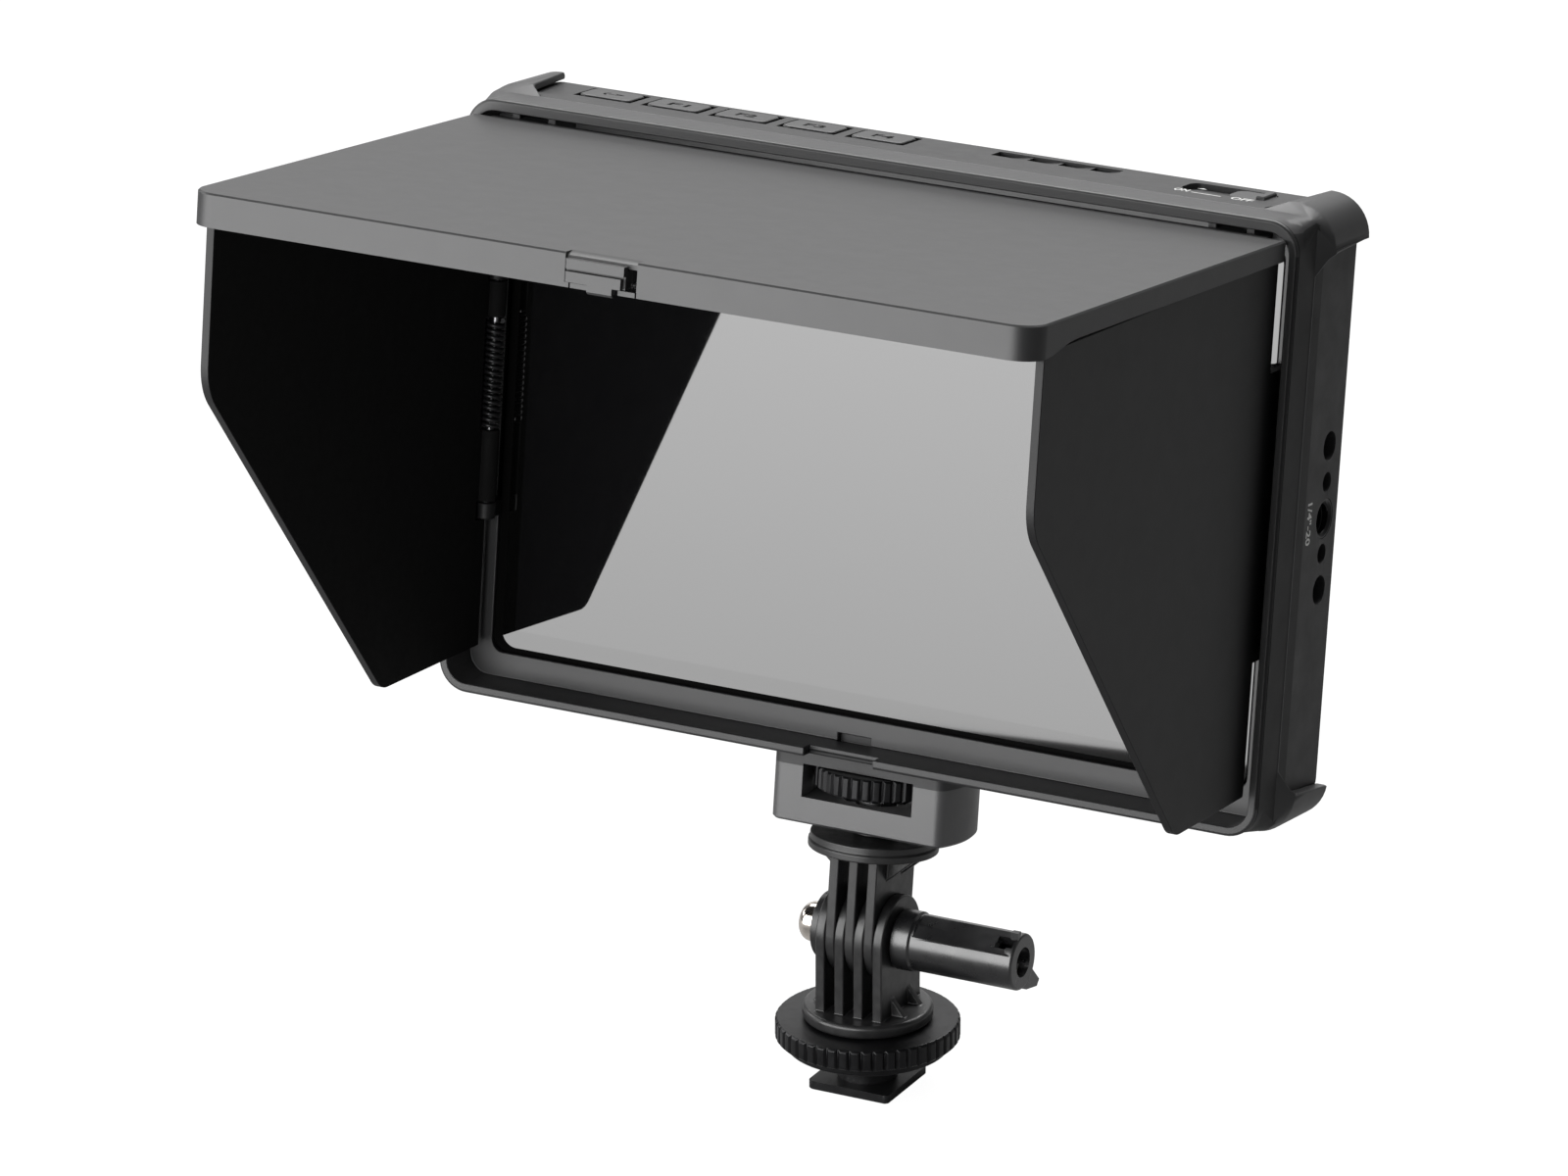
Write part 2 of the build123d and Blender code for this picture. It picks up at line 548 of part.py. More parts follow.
with BuildPart() as lcd_panel:
    slab(LCD[0], LCD[1], 0.5, GLASS[3], LCD[2], mid_z=LIGHT_MID_Z)
lcd_panel.part.label = "lcd_panel"
export_step(lcd_panel.part.moved(LEANED), "parts/lcd_panel.step")

with BuildPart() as backlight:
    slab(LCD[0] + 1.6, LCD[1] + 1.6, 1.0, LCD[2], BACKLIGHT_BACK, mid_z=LIGHT_MID_Z)
backlight.part.label = "backlight"
export_step(backlight.part.moved(LEANED), "parts/backlight.step")

with BuildPart() as main_board:
    block((-89.5, 72.0), BOARD, (14.0, 106.0))
    for x, z, width, height in ((-30, 84, 16, 16), (20, 70, 12, 12), (-45, 40, 10, 10)):
        block(
            (x - width / 2, x + width / 2), (BOARD[1], BOARD[1] + 1.4),
            (z - height / 2, z + height / 2),
        )
main_board.part.label = "main_board"
export_step(main_board.part.moved(LEANED), "parts/main_board.step")

with BuildPart() as key_board:
    block((KEY_FIRST - 2, KEY_FIRST + 4 * KEY_STEP + KEY_WIDE + 2), (20.0, 26.8), (115.4, 116.6))
    for i in range(5):
        middle = KEY_FIRST + KEY_STEP * i + KEY_WIDE / 2
        block((middle - 2.3, middle + 2.3), (21.1, 25.7), (116.6, 118.4))
        rod_z(middle, KEY_MID_Y, (118.4, 119.0), 1.2)
key_board.part.label = "key_board"
export_step(key_board.part.moved(LEANED), "parts/key_board.step")

with BuildPart() as power_switch:
    block((58.0, 76.8), (19.9, 26.0), (116.6, 121.8))
    block((60.4, 74.6), (21.7, 24.1), (119.0, 122.0), mode=Mode.SUBTRACT)
power_switch.part.label = "power_switch"
export_step(power_switch.part.moved(LEANED), "parts/power_switch.step")

with BuildPart() as hdmi_sockets:
    for z in PORTS["hdmi"]:
        block((-92.2, -81.5), (20.8, PORT_Y + 2.7), (z - 7.5, z + 7.5))
        block((-92.3, -82.5), (PORT_Y - 2.3, PORT_Y + 2.3), (z - 7.0, z + 7.0), mode=Mode.SUBTRACT)
        block((-91.4, -82.0), (PORT_Y - 0.5, PORT_Y + 0.5), (z - 5.5, z + 5.5))
hdmi_sockets.part.label = "hdmi_sockets"
export_step(hdmi_sockets.part.moved(LEANED), "parts/hdmi_sockets.step")

with BuildPart() as dc_jack:
    block((-90.2, -79.5), (20.8, 28.0), (PORTS["dc"] - 4.4, PORTS["dc"] + 4.4))
    rod_x((-92.0, -90.0), PORT_Y, PORTS["dc"], 4.1)
    rod_x((-92.1, -81.5), PORT_Y, PORTS["dc"], 2.9, mode=Mode.SUBTRACT)
    rod_x((-91.0, -81.0), PORT_Y, PORTS["dc"], 1.0)
dc_jack.part.label = "dc_jack"
export_step(dc_jack.part.moved(LEANED), "parts/dc_jack.step")

with BuildPart() as headphone_jack:
    block((-90.2, -78.5), (20.8, 26.6), (PORTS["audio"] - 3.2, PORTS["audio"] + 3.2))
    rod_x((-92.0, -90.0), PORT_Y, PORTS["audio"], 3.1)
    rod_x((-92.1, -79.5), PORT_Y, PORTS["audio"], 1.8, mode=Mode.SUBTRACT)
headphone_jack.part.label = "headphone_jack"
export_step(headphone_jack.part.moved(LEANED), "parts/headphone_jack.step")

with BuildPart() as side_insert:
    rod_x((84.0, 92.2), SIDE_Y, SIDE_THREAD_Z, 4.05)
    rod_x((84.0, 92.3), SIDE_Y, SIDE_THREAD_Z, THREAD_R, mode=Mode.SUBTRACT)
    chamfer(side_insert.edges().filter_by(GeomType.CIRCLE).sort_by(Axis.X)[-2:].sort_by(
        SortBy.LENGTH)[0], 0.5)
side_insert.part.label = "side_insert"
export_step(side_insert.part.moved(LEANED), "parts/side_insert.step")

with BuildPart() as base_insert:
    rod_z(0, STUD_Y, (0.5, 8.5), 4.05)
    rod_z(0, STUD_Y, (0.5, 8.5), THREAD_R, mode=Mode.SUBTRACT)
base_insert.part.label = "base_insert"
export_step(base_insert.part.moved(LEANED), "parts/base_insert.step")

# ---------------------------------------------------------------- monitor: battery plate on the back
PLATE_X = POCKET[0] / 2 - 0.2
PLATE_Z = (LIGHT_MID_Z - POCKET[1] / 2 + 0.2, LIGHT_MID_Z + POCKET[1] / 2 - 0.2)

with BuildPart() as battery_plate:
    block((-PLATE_X, PLATE_X), (BACK - POCKET[2], BACK), PLATE_Z)
    block((-16.5, 16.5), (BACK - 1.2, BACK + 1), (PLATE_Z[0] + 8, PLATE_Z[1] + 1),
          mode=Mode.SUBTRACT)
    for side in (-1, 1):
        for z in (44.0, 62.0, 80.0):
            with Locations((side * 19.0, BACK - 0.8, z)):
                Box(2.2, 1.7, 9.0, mode=Mode.SUBTRACT)
    block((-11.0, 11.0), (BACK - 2.2, BACK + 1), (PLATE_Z[0] + 3, PLATE_Z[0] + 8),
          mode=Mode.SUBTRACT)
battery_plate.part.label = "battery_plate"
export_step(battery_plate.part.moved(LEANED), "parts/battery_plate.step")

with BuildPart() as battery_contacts:
    for x in (-7.0, 0, 7.0):
        block((x - 0.5, x + 0.5), (BACK - 2.2, BACK - 0.3), (PLATE_Z[0] + 3.5, PLATE_Z[0] + 7.5))
battery_contacts.part.label = "battery_contacts"
export_step(battery_contacts.part.moved(LEANED), "parts/battery_contacts.step")

with BuildPart() as battery_release:
    rod_y(RELEASE[0], (BACK - 1.4, BACK + 0.4), RELEASE[1], RELEASE[2])
    chamfer(battery_release.edges().filter_by(GeomType.CIRCLE).sort_by(Axis.Y)[-1], 0.3)
battery_release.part.label = "battery_release"
export_step(battery_release.part.moved(LEANED), "parts/battery_release.step")

with BuildPart() as case_screws:
    for x, z in SCREW_SPOTS:
        rod_y(x, (BACK - 1.5, BACK - 0.3), z, 2.3)
        rod_y(x, (25.2, BACK - 1.5), z, 1.15)
        with Locations((x, BACK - 0.5, z)):
            Box(2.6, 0.6, 0.6, mode=Mode.SUBTRACT)
            Box(0.6, 0.6, 2.6, mode=Mode.SUBTRACT)
case_screws.part.label = "case_screws"
export_step(case_screws.part.moved(LEANED), "parts/case_screws.step")

# ---------------------------------------------------------------- monitor: keys and power slider
for i, name in enumerate(("key_input", "key_f1", "key_f2", "key_f3", "key_f4")):
    middle = KEY_FIRST + KEY_STEP * i + KEY_WIDE / 2
    with BuildPart() as key:
        with BuildSketch(Plane.XY.offset(SHELL_TOP - 2.2)) as cap:
            with Locations((middle, KEY_MID_Y)):
                RectangleRounded(KEY_WIDE, KEY_DEEP, 1.8)
        extrude(amount=KEY_TOP - SHELL_TOP + 2.2)
        chamfer(key.faces().sort_by(Axis.Z)[-1].edges(), 0.25)
        block((middle - 7.1, middle + 7.1), (20.4, 26.4), (120.6, SHELL_TOP - 2.2))
        rod_z(middle, KEY_MID_Y, (119.45, 120.6), 1.5)
    key.part.label = name
    export_step(key.part.moved(LEANED), f"parts/{name}.step")

with BuildPart() as power_slider:
    floor = SHELL_TOP - SWITCH_DEEP + 0.06
    with BuildSketch(Plane.XY.offset(floor)) as plate:
        with Locations((72.3, (SWITCH[2] + SWITCH[3]) / 2)):
            RectangleRounded(8.6, SWITCH[3] - SWITCH[2] - 0.4, SWITCH_R - 0.2)
    extrude(amount=SHELL_TOP - 0.1 - floor)
    block((74.2, 76.0), (19.8, 25.9), (SHELL_TOP - 0.2, SHELL_TOP + 0.65))
    chamfer(power_slider.faces().sort_by(Axis.Z)[-1].edges(), 0.25)
    block((71.0, 74.2), (22.0, 23.8), (119.4, floor))
power_slider.part.label = "power_slider"
export_step(power_slider.part.moved(LEANED), "parts/power_slider.step")

# ---------------------------------------------------------------- hood: tray round the screen
with BuildPart() as hood_frame:
    slab(WIDE, TALL, CORNER_R, 0, BAND_FRONT)
    chamfer(hood_frame.faces().sort_by(Axis.Y)[0].edges(), 0.4)
    slab(WIDE - 2 * SKIN, TALL - 2 * SKIN, CORNER_R - SKIN, BAND_FRONT, BAND_BACK)
    slab(WIDE - 2.8, TALL - 2.8, CORNER_R - 1.4, BAND_BACK, TRAY_BACK)
    slab(
        WIDE - 2 * RIM_WALL, TRAY_TOP - RIM_WALL, CORNER_R - RIM_WALL, -1, TRAY_DEEP,
        mode=Mode.SUBTRACT, mid_z=(TRAY_TOP + RIM_WALL) / 2,
    )
    slab(*LIGHT, 5, TRAY_BACK + 1, mode=Mode.SUBTRACT, mid_z=LIGHT_MID_Z)
    # latch notch in the lower rim and the catch slot behind it
    block((-7.6, 8.0), (-1, 3.0), (-1, RIM_WALL + 0.1), mode=Mode.SUBTRACT)
    block((-4.9, 2.5), (TRAY_DEEP - 0.8, TRAY_BACK + 1), (1.2, 3.4), mode=Mode.SUBTRACT)
    # hinge notches, with two lugs in each for the flap's pin
    for side, hand in ((-1, "left"), (1, "right")):
        axis_x = side * FLAP_AXIS_X
        axis_y = FLAP_AXIS_Y[hand]
        notch_x = sorted((side * (LIGHT[0] / 2 - 3), side * NOTCH_OUT))
        block(notch_x, (TRAY_DEEP - 5, TRAY_BACK + 1), NOTCH, mode=Mode.SUBTRACT)
        lug_x = sorted((side * (FLAP_AXIS_X - 1.2), side * (NOTCH_OUT + 0.5)))
        for low, high in ((NOTCH[0], 39.4), (86.3, NOTCH[1])):
            rod_z(axis_x, axis_y, (low, high), 2.0)
            block(lug_x, (axis_y, TRAY_BACK), (low, high))
            rod_z(axis_x, axis_y, (low, high), FLAP_PIN_R, mode=Mode.SUBTRACT)
    # lugs for the lid's pins, hanging from the top bar
    for side in (-1, 1):
        for low, high in ((TAB[0] - 2.0, TAB[0] - 0.2), (TAB[1] + 0.2, TAB[1] + 2.0)):
            lug = sorted((side * low, side * high))
            block(lug, (1.2, TRAY_DEEP + 0.5), (117.7, TRAY_TOP + 0.5))
            rod_x(lug, *LID_AXIS, 0.75, mode=Mode.SUBTRACT)
hood_frame.part.label = "hood_frame"
export_step(hood_frame.part.moved(LEANED), "parts/hood_frame.step")

# ---------------------------------------------------------------- hood: lid
with BuildPart() as lid:
    with BuildSketch(Plane.XY.offset(LID_UNDER)) as panel:
        with Locations((0, (LID_REAR + LID_FRONT) / 2)):
            Rectangle(2 * LID_HALF, LID_REAR - LID_FRONT)
        fillet(panel.vertices().group_by(Axis.Y)[0], LID_CORNER_R)
    extrude(amount=LID_TOP - LID_UNDER)
    with BuildSketch(Plane.XY.offset(LID_UNDER)) as lips:
        with Locations((0, (LID_REAR + LID_FRONT) / 2)):
            Rectangle(2 * LID_HALF, LID_REAR - LID_FRONT)
        fillet(lips.vertices().group_by(Axis.Y)[0], LID_CORNER_R)
        offset(amount=-LIP, kind=Kind.ARC, mode=Mode.SUBTRACT)
        with Locations((0, 0)):
            Rectangle(2 * (LID_HALF - LIP), 12.0, mode=Mode.SUBTRACT)
    extrude(amount=LIP_FRONT_LOW - LID_UNDER)
    with BuildSketch(Plane.YZ) as lip_line:
        with BuildLine():
            Polyline(
                (1.0, LIP_LOW - 3), (1.0, LIP_LOW), (-95.0, LIP_LOW - 0.6),
                (-99.0, LIP_LOW - 0.85), (-106.0, LIP_FRONT_LOW + 0.3),
                (-110.0, LIP_FRONT_LOW), (-110.0, LIP_LOW - 3), close=True,
            )
        make_face()
    extrude(amount=WIDE, both=True, mode=Mode.SUBTRACT)
    chamfer(lid.faces().sort_by(Axis.Z)[-1].edges().filter_by(GeomType.LINE).filter_by(Axis.Y), 0.35)
    for side in (-1, 1):
        corner = sorted((side * 86.2, side * (LID_HALF + 1)))
        block(corner, (-1.2, LID_REAR + 1), (LIP_LOW - 1, LID_TOP + 1), mode=Mode.SUBTRACT)
        tab = sorted((side * TAB[0], side * TAB[1]))
        block(tab, (-4.0, LID_AXIS[0]), (LID_UNDER, LID_TOP))
        rod_x(tab, *LID_AXIS, KNUCKLE_R)
        rod_x(tab, *LID_AXIS, 0.75 + RUN, mode=Mode.SUBTRACT)
    # latch cut-out in the lip, the thumb scoop over it, the slits under it and the keepers
    block(LATCH, (LID_FRONT - 1, LID_FRONT + LIP + 1), (115.3, LID_UNDER), mode=Mode.SUBTRACT)
    block(LATCH, (LID_FRONT - 1, LID_FRONT + 0.8), (115.3, LID_TOP + 1), mode=Mode.SUBTRACT)
    with BuildSketch(Plane.YZ.offset(LATCH[0])) as scoop:
        with BuildLine():
            Polyline(
                (LID_FRONT - 0.1, 120.1), (LID_FRONT + 2.6, LID_TOP),
                (LID_FRONT + 2.6, LID_TOP + 0.5), (LID_FRONT - 0.1, LID_TOP + 0.5), close=True,
            )
        make_face()
    extrude(amount=LATCH[1] - LATCH[0], mode=Mode.SUBTRACT)
    for low, high in ((-6.65, -6.35), (3.0, 3.8), (7.45, 7.75)):
        block((low, high), (LID_FRONT - 1, LID_FRONT + 2), (113.0, 115.4), mode=Mode.SUBTRACT)
    for low, high in ((-11.0, -9.6), (11.6, 13.0)):
        block((low, high), (LID_FRONT + LIP - 0.3, LID_FRONT + 4.6), (115.2, LID_UNDER + 0.5))
lid.part.label = "lid"
export_step(lid.part.moved(OPENED), "parts/lid.step")

with BuildPart() as lid_pins:
    for side in (-1, 1):
        rod_x(sorted((side * (TAB[0] - 2.0), side * (TAB[1] + 2.0))), *LID_AXIS, 0.75)
lid_pins.part.label = "lid_pins"
export_step(lid_pins.part.moved(LEANED), "parts/lid_pins.step")

with BuildPart() as lid_latch:
    block((-7.3, 5.3), (LID_FRONT + 0.1, LID_FRONT + 1.3), (115.5, 119.2))
    block((-9.2, 5.3), (LID_FRONT + 1.5, LID_FRONT + 3.0), (115.5, 119.2))
    block((-7.3, 5.3), (LID_FRONT + 1.2, LID_FRONT + 1.6), (115.5, 119.2))
    block((-7.3, 5.4), (LID_FRONT - 1.0, LID_FRONT + 0.6), (118.1, 120.0))
    block((-7.3, 4.8), (LID_FRONT - 1.0, LID_FRONT + 0.2), (115.55, 117.6))
    block((-2.3, 3.0), (LID_FRONT - 0.95, LID_FRONT - 0.15), (113.75, 115.6))
    fillet(lid_latch.edges().filter_by(Axis.Z).group_by(Axis.Y)[0].group_by(Axis.X)[0], 0.7)
    chamfer(lid_latch.edges().filter_by(Axis.X).group_by(Axis.Z)[0].group_by(Axis.Y)[0], 0.5)
    rod_x((5.3, 9.0), LID_FRONT + 2.65, 116.2, 0.35)
lid_latch.part.label = "lid_latch"
export_step(lid_latch.part.moved(OPENED), "parts/lid_latch.step")

with BuildPart() as latch_spring:
    rod_x((5.35, 9.0), LID_FRONT + 2.65, 116.2, 0.7)
    rod_x((5.3, 9.1), LID_FRONT + 2.65, 116.2, 0.45, mode=Mode.SUBTRACT)
latch_spring.part.label = "latch_spring"
export_step(latch_spring.part.moved(OPENED), "parts/latch_spring.step")

# ---------------------------------------------------------------- hood: side flaps
KNUCKLES = ((39.7, 54.7), (78.5, 86.0))

for side, hand in ((-1, "left"), (1, "right")):
    axis_x = side * FLAP_AXIS_X
    axis_y = FLAP_AXIS_Y[hand]
    rear = axis_y + 1.2
    with BuildPart() as flap:
        front = axis_y - FLAP_REACH
        foot = (axis_y - FLAP_FOOT[0], FLAP_FOOT[1])
        with BuildSketch(Plane.YZ.offset(FLAP_IN)) as outline:
            with BuildLine():
                Polyline(
                    (rear, FLAP_TOP[1]), (front, FLAP_TOP[0]), (front, FLAP_KNEE),
                    foot, (rear, 8.6), close=True,
                )
            make_face()
            bends = (
                ((front, FLAP_KNEE, 0), FLAP_KNEE_R),
                ((front, FLAP_TOP[0], 0), 2.0),
                ((*foot, 0), FLAP_FOOT_R),
            )
            for spot, radius in bends:
                fillet(outline.vertices().sort_by_distance(spot)[0], radius)
        extrude(amount=FLAP_OUT - FLAP_IN)
        if side < 0:
            mirror(about=Plane.YZ, mode=Mode.REPLACE)
        skin = sorted((side * (FLAP_IN - 0.1), side * (FLAP_OUT + 0.1)))
        block(skin, (axis_y - FLAP_CLEAR, rear + 1), (NOTCH[0] - 0.4, NOTCH[1] + 0.4),
              mode=Mode.SUBTRACT)
        web = sorted((side * (FLAP_IN), side * (FLAP_OUT - 0.2)))
        for low, high in KNUCKLES:
            block(web, (axis_y - FLAP_CLEAR - 0.5, axis_y), (low, high))
            rod_z(axis_x, axis_y, (low, high), 2.0)
            rod_z(axis_x, axis_y, (low, high), FLAP_PIN_R + RUN, mode=Mode.SUBTRACT)
    flap.part.label = f"flap_{hand}"
    export_step(flap.part.moved(LEANED), f"parts/flap_{hand}.step")

    with BuildPart() as flap_pin:
        rod_z(axis_x, axis_y, (NOTCH[0] + 0.2, NOTCH[1] - 0.2), FLAP_PIN_R)
    flap_pin.part.label = f"flap_pin_{hand}"
    export_step(flap_pin.part.moved(LEANED), f"parts/flap_pin_{hand}.step")

    with BuildPart() as flap_spring:
        rod_z(axis_x, axis_y, SPRING, SPRING_R)
        rod_z(axis_x, axis_y, SPRING, SPRING_BORE_R, mode=Mode.SUBTRACT)
    flap_spring.part.label = f"flap_spring_{hand}"
    export_step(flap_spring.part.moved(LEANED), f"parts/flap_spring_{hand}.step")
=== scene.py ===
import json
import math

import bmesh
import bpy
from mathutils import Matrix, Vector

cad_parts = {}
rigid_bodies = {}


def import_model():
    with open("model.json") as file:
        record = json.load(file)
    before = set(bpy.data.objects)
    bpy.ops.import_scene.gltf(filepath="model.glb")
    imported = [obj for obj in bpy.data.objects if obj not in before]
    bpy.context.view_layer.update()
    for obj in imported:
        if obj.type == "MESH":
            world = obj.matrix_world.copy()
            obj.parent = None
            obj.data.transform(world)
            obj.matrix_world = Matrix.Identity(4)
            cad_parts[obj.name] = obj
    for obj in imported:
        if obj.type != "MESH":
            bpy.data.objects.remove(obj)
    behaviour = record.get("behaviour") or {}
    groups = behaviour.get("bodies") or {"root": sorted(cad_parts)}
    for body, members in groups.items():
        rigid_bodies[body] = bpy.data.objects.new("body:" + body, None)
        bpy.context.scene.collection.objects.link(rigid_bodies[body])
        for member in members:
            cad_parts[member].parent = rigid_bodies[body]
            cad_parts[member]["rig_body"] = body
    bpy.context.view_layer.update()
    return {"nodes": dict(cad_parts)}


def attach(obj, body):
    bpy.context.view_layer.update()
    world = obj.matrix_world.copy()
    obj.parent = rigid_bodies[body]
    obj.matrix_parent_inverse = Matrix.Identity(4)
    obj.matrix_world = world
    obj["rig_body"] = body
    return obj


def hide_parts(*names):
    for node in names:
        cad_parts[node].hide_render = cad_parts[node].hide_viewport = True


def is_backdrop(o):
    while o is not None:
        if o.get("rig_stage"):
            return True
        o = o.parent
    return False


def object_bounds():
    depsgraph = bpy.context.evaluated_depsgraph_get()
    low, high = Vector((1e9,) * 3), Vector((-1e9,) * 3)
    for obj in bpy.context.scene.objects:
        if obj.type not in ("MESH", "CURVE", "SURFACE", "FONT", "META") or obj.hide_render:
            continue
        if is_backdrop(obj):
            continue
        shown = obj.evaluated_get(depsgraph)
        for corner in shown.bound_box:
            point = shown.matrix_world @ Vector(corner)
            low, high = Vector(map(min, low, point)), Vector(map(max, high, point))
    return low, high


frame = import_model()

# ---------------------------------------------------------------- studio
# A white paper sweep, one large soft light over the object and one low at the front left that the
# screen mirrors, with weaker ones behind and to the left.  The floor is white to the eye and keeps
# a faint shadow.


def colour(code):
    """An sRGB hex colour as the linear colour that Blender works in."""
    parts = [int(code[i:i + 2], 16) / 255 for i in (1, 3, 5)]
    return [p / 12.92 if p <= 0.04045 else ((p + 0.055) / 1.055) ** 2.4 for p in parts] + [1.0]


def emptied(owner):
    """The node tree of a new material or world, with nothing in it yet."""
    owner.use_nodes = True
    owner.node_tree.nodes.clear()
    return owner.node_tree


def add(tree, kind, links=(), **settings):
    """One node in a tree: its settings by name, constants by socket, links as (socket, source)."""
    node = tree.nodes.new(kind)
    for key, value in settings.items():
        if key == "values":
            for socket, constant in value.items():
                node.inputs[socket].default_value = constant
        else:
            setattr(node, key, value)
    for socket, source in links:
        tree.links.new(source, node.inputs[socket])
    return node


def placed(name, data):
    """A new object of that name and data, linked into the scene."""
    piece = bpy.data.objects.new(name, data)
    bpy.context.scene.collection.objects.link(piece)
    return piece


# Sweep paper: matt grey to the lamps, so that it throws little back, and white to the camera, with
# the object's shadow kept as a light grey.
WHITE = (1, 1, 1, 1)
PAPER_GLOW = 0.97
sweep_paper = bpy.data.materials.new("sweep_paper")
paper = emptied(sweep_paper)
rays = add(paper, "ShaderNodeLightPath")
matt = add(paper, "ShaderNodeBsdfDiffuse", values={"Color": colour("#8e8e8e")})
shade = add(paper, "ShaderNodeBsdfDiffuse", values={"Color": colour("#4a4a4a")})
glow = add(paper, "ShaderNodeEmission", values={"Color": WHITE, "Strength": PAPER_GLOW})
seen = add(paper, "ShaderNodeAddShader", [(0, shade.outputs[0]), (1, glow.outputs[0])])
mixed = add(paper, "ShaderNodeMixShader", [
    (0, rays.outputs["Is Camera Ray"]), (1, matt.outputs[0]), (2, seen.outputs[0])])
add(paper, "ShaderNodeOutputMaterial", [(0, mixed.outputs[0])])

# The paper lies a hair under the foot, so that the two don't share a plane.
SWEEP_Z = -0.0001
SWEEP_HALF = 9
sheet = bpy.data.meshes.new("sweep")
sheet.from_pydata([(x * SWEEP_HALF, y * SWEEP_HALF, SWEEP_Z)
                   for x, y in ((-1, -1), (1, -1), (1, 1), (-1, 1))], [], [(0, 1, 2, 3)])
sheet.materials.append(sweep_paper)
sweep = placed("sweep", sheet)
sweep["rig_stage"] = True

# The room is white to the camera and through glass, and dim to everything else.
ROOM_LIGHT = 0.22
world = bpy.data.worlds.new("studio")
bpy.context.scene.world = world
air = emptied(world)
rays = add(air, "ShaderNodeLightPath")
white = add(air, "ShaderNodeBackground", values={"Color": WHITE, "Strength": 1.0})
dim = add(air, "ShaderNodeBackground", values={"Color": WHITE, "Strength": ROOM_LIGHT})
clear = add(air, "ShaderNodeMath", [(0, rays.outputs["Is Camera Ray"]),
                                    (1, rays.outputs["Is Transmission Ray"])], operation="MAXIMUM")
both = add(air, "ShaderNodeMixShader", [(0, clear.outputs[0]), (1, dim.outputs[0]),
                                        (2, white.outputs[0])])
add(air, "ShaderNodeOutputWorld", [(0, both.outputs[0])])


def softbox(name, middle, aim, size, power):
    """A rectangular soft light at a point, facing another: sizes in metres, power in watts."""
    lamp = bpy.data.lights.new(name, "AREA")
    lamp.shape = "RECTANGLE"
    lamp.size, lamp.size_y = size
    lamp.energy = power
    box = placed(name, lamp)
    box.location = middle
    box.rotation_euler = (Vector(aim) - Vector(middle)).to_track_quat("-Z", "Y").to_euler()


softbox("top_light", middle=(-0.25, 0.9, 1.5), aim=(0, 0, 0.15), size=(1.6, 1.0), power=42)
softbox("screen_light", middle=(-0.215, -0.46, 0.232), aim=(0, 0, 0.17), size=(0.76, 0.45),
        power=6.5)
softbox("back_light", middle=(-0.7, 1.5, 0.35), aim=(0, 0, 0.2), size=(1.4, 0.6), power=2.1)
softbox("left_light", middle=(-1.6, 0.1, 0.9), aim=(0, 0, 0.12), size=(0.8, 0.8), power=9)

# A long lens about 1.8 m away, to the front right and above the hood.
CAMERA_AT = Vector((0.7510402, -1.4934519, 0.7377718))
VIEW_RIGHT = Vector((0.88900164, 0.45790178, -0.00143193))
VIEW_UP = Vector((-0.16012631, 0.31380677, 0.93588721))
VIEW_BACK = Vector((0.42899377, -0.83177597, 0.35229686))
SENSOR_MM = 36.0
FOCAL_MM = 203.175
SEES_TO = 30
lens = bpy.data.cameras.new("camera")
lens.sensor_width = SENSOR_MM
lens.lens = FOCAL_MM
lens.clip_end = SEES_TO
camera = placed("camera", lens)
turn = Matrix((VIEW_RIGHT, VIEW_UP, VIEW_BACK)).transposed().to_4x4()
camera.matrix_world = Matrix.Translation(CAMERA_AT) @ turn
bpy.context.scene.camera = camera
bpy.context.scene.view_settings.view_transform = "Standard"

# ---------------------------------------------------------------- shoe foot
# A square steel foot and its threaded stem, turned and milled in one piece, chemically blackened
# and left a little shiny.  The thread shows between the foot and the lock ring's washer.
MM = 0.001
MERGE_WITHIN = 2e-6
FLAT_WITHIN = 0.008
SHARP_FROM = math.radians(35)


def at(x, y, z):
    """The shift to a point given in millimetres."""
    return Matrix.Translation((x * MM, y * MM, z * MM))


def flat_patches(form):
    """Groups of touching faces that lie in one plane, without those that have a hole in them.

    The faces are kept in the mesh's own order, so that each run gives the same groups.
    """
    left = dict.fromkeys(form.faces)
    while left:
        seed = next(iter(left))
        del left[seed]
        patch, rim = [seed], [seed]
        while rim:
            for side in rim.pop().edges:
                for face in side.link_faces:
                    if face in left and face.normal.angle(seed.normal, 0) < FLAT_WITHIN:
                        del left[face]
                        patch.append(face)
                        rim.append(face)
        corners = {v for face in patch for v in face.verts}
        sides = {e for face in patch for e in face.edges}
        if len(patch) > 1 and len(corners) - len(sides) + len(patch) == 1:
            yield patch


def as_mesh(form, name):
    """A bmesh written out as a mesh of that name."""
    mesh = bpy.data.meshes.new(name)
    form.to_mesh(mesh)
    form.free()
    return mesh


def dressed(node, finish, edge, segments=2, clamp=True):
    """A merged copy of a solid, its edges eased by so many millimetres, that stands for it."""
    form = bmesh.new()
    form.from_mesh(frame["nodes"][node].data)
    bmesh.ops.remove_doubles(form, verts=form.verts, dist=MERGE_WITHIN)
    for patch in list(flat_patches(form)):
        bmesh.ops.dissolve_faces(form, faces=patch)
    mesh = as_mesh(form, node + "_form")
    for face in mesh.polygons:
        face.use_smooth = True
    mesh.set_sharp_from_angle(angle=SHARP_FROM)
    mesh.materials.append(finish)
    piece = placed(node + "_form", mesh)
    if edge:
        ease = piece.modifiers.new("eased edges", "BEVEL")
        ease.width = edge * MM
        ease.segments = segments
        ease.limit_method = "ANGLE"
        ease.angle_limit = SHARP_FROM
        ease.use_clamp_overlap = clamp
    even = piece.modifiers.new("flat faces stay flat", "WEIGHTED_NORMAL")
    even.keep_sharp = True
    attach(piece, frame["nodes"][node]["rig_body"])
    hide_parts(node)
    return piece


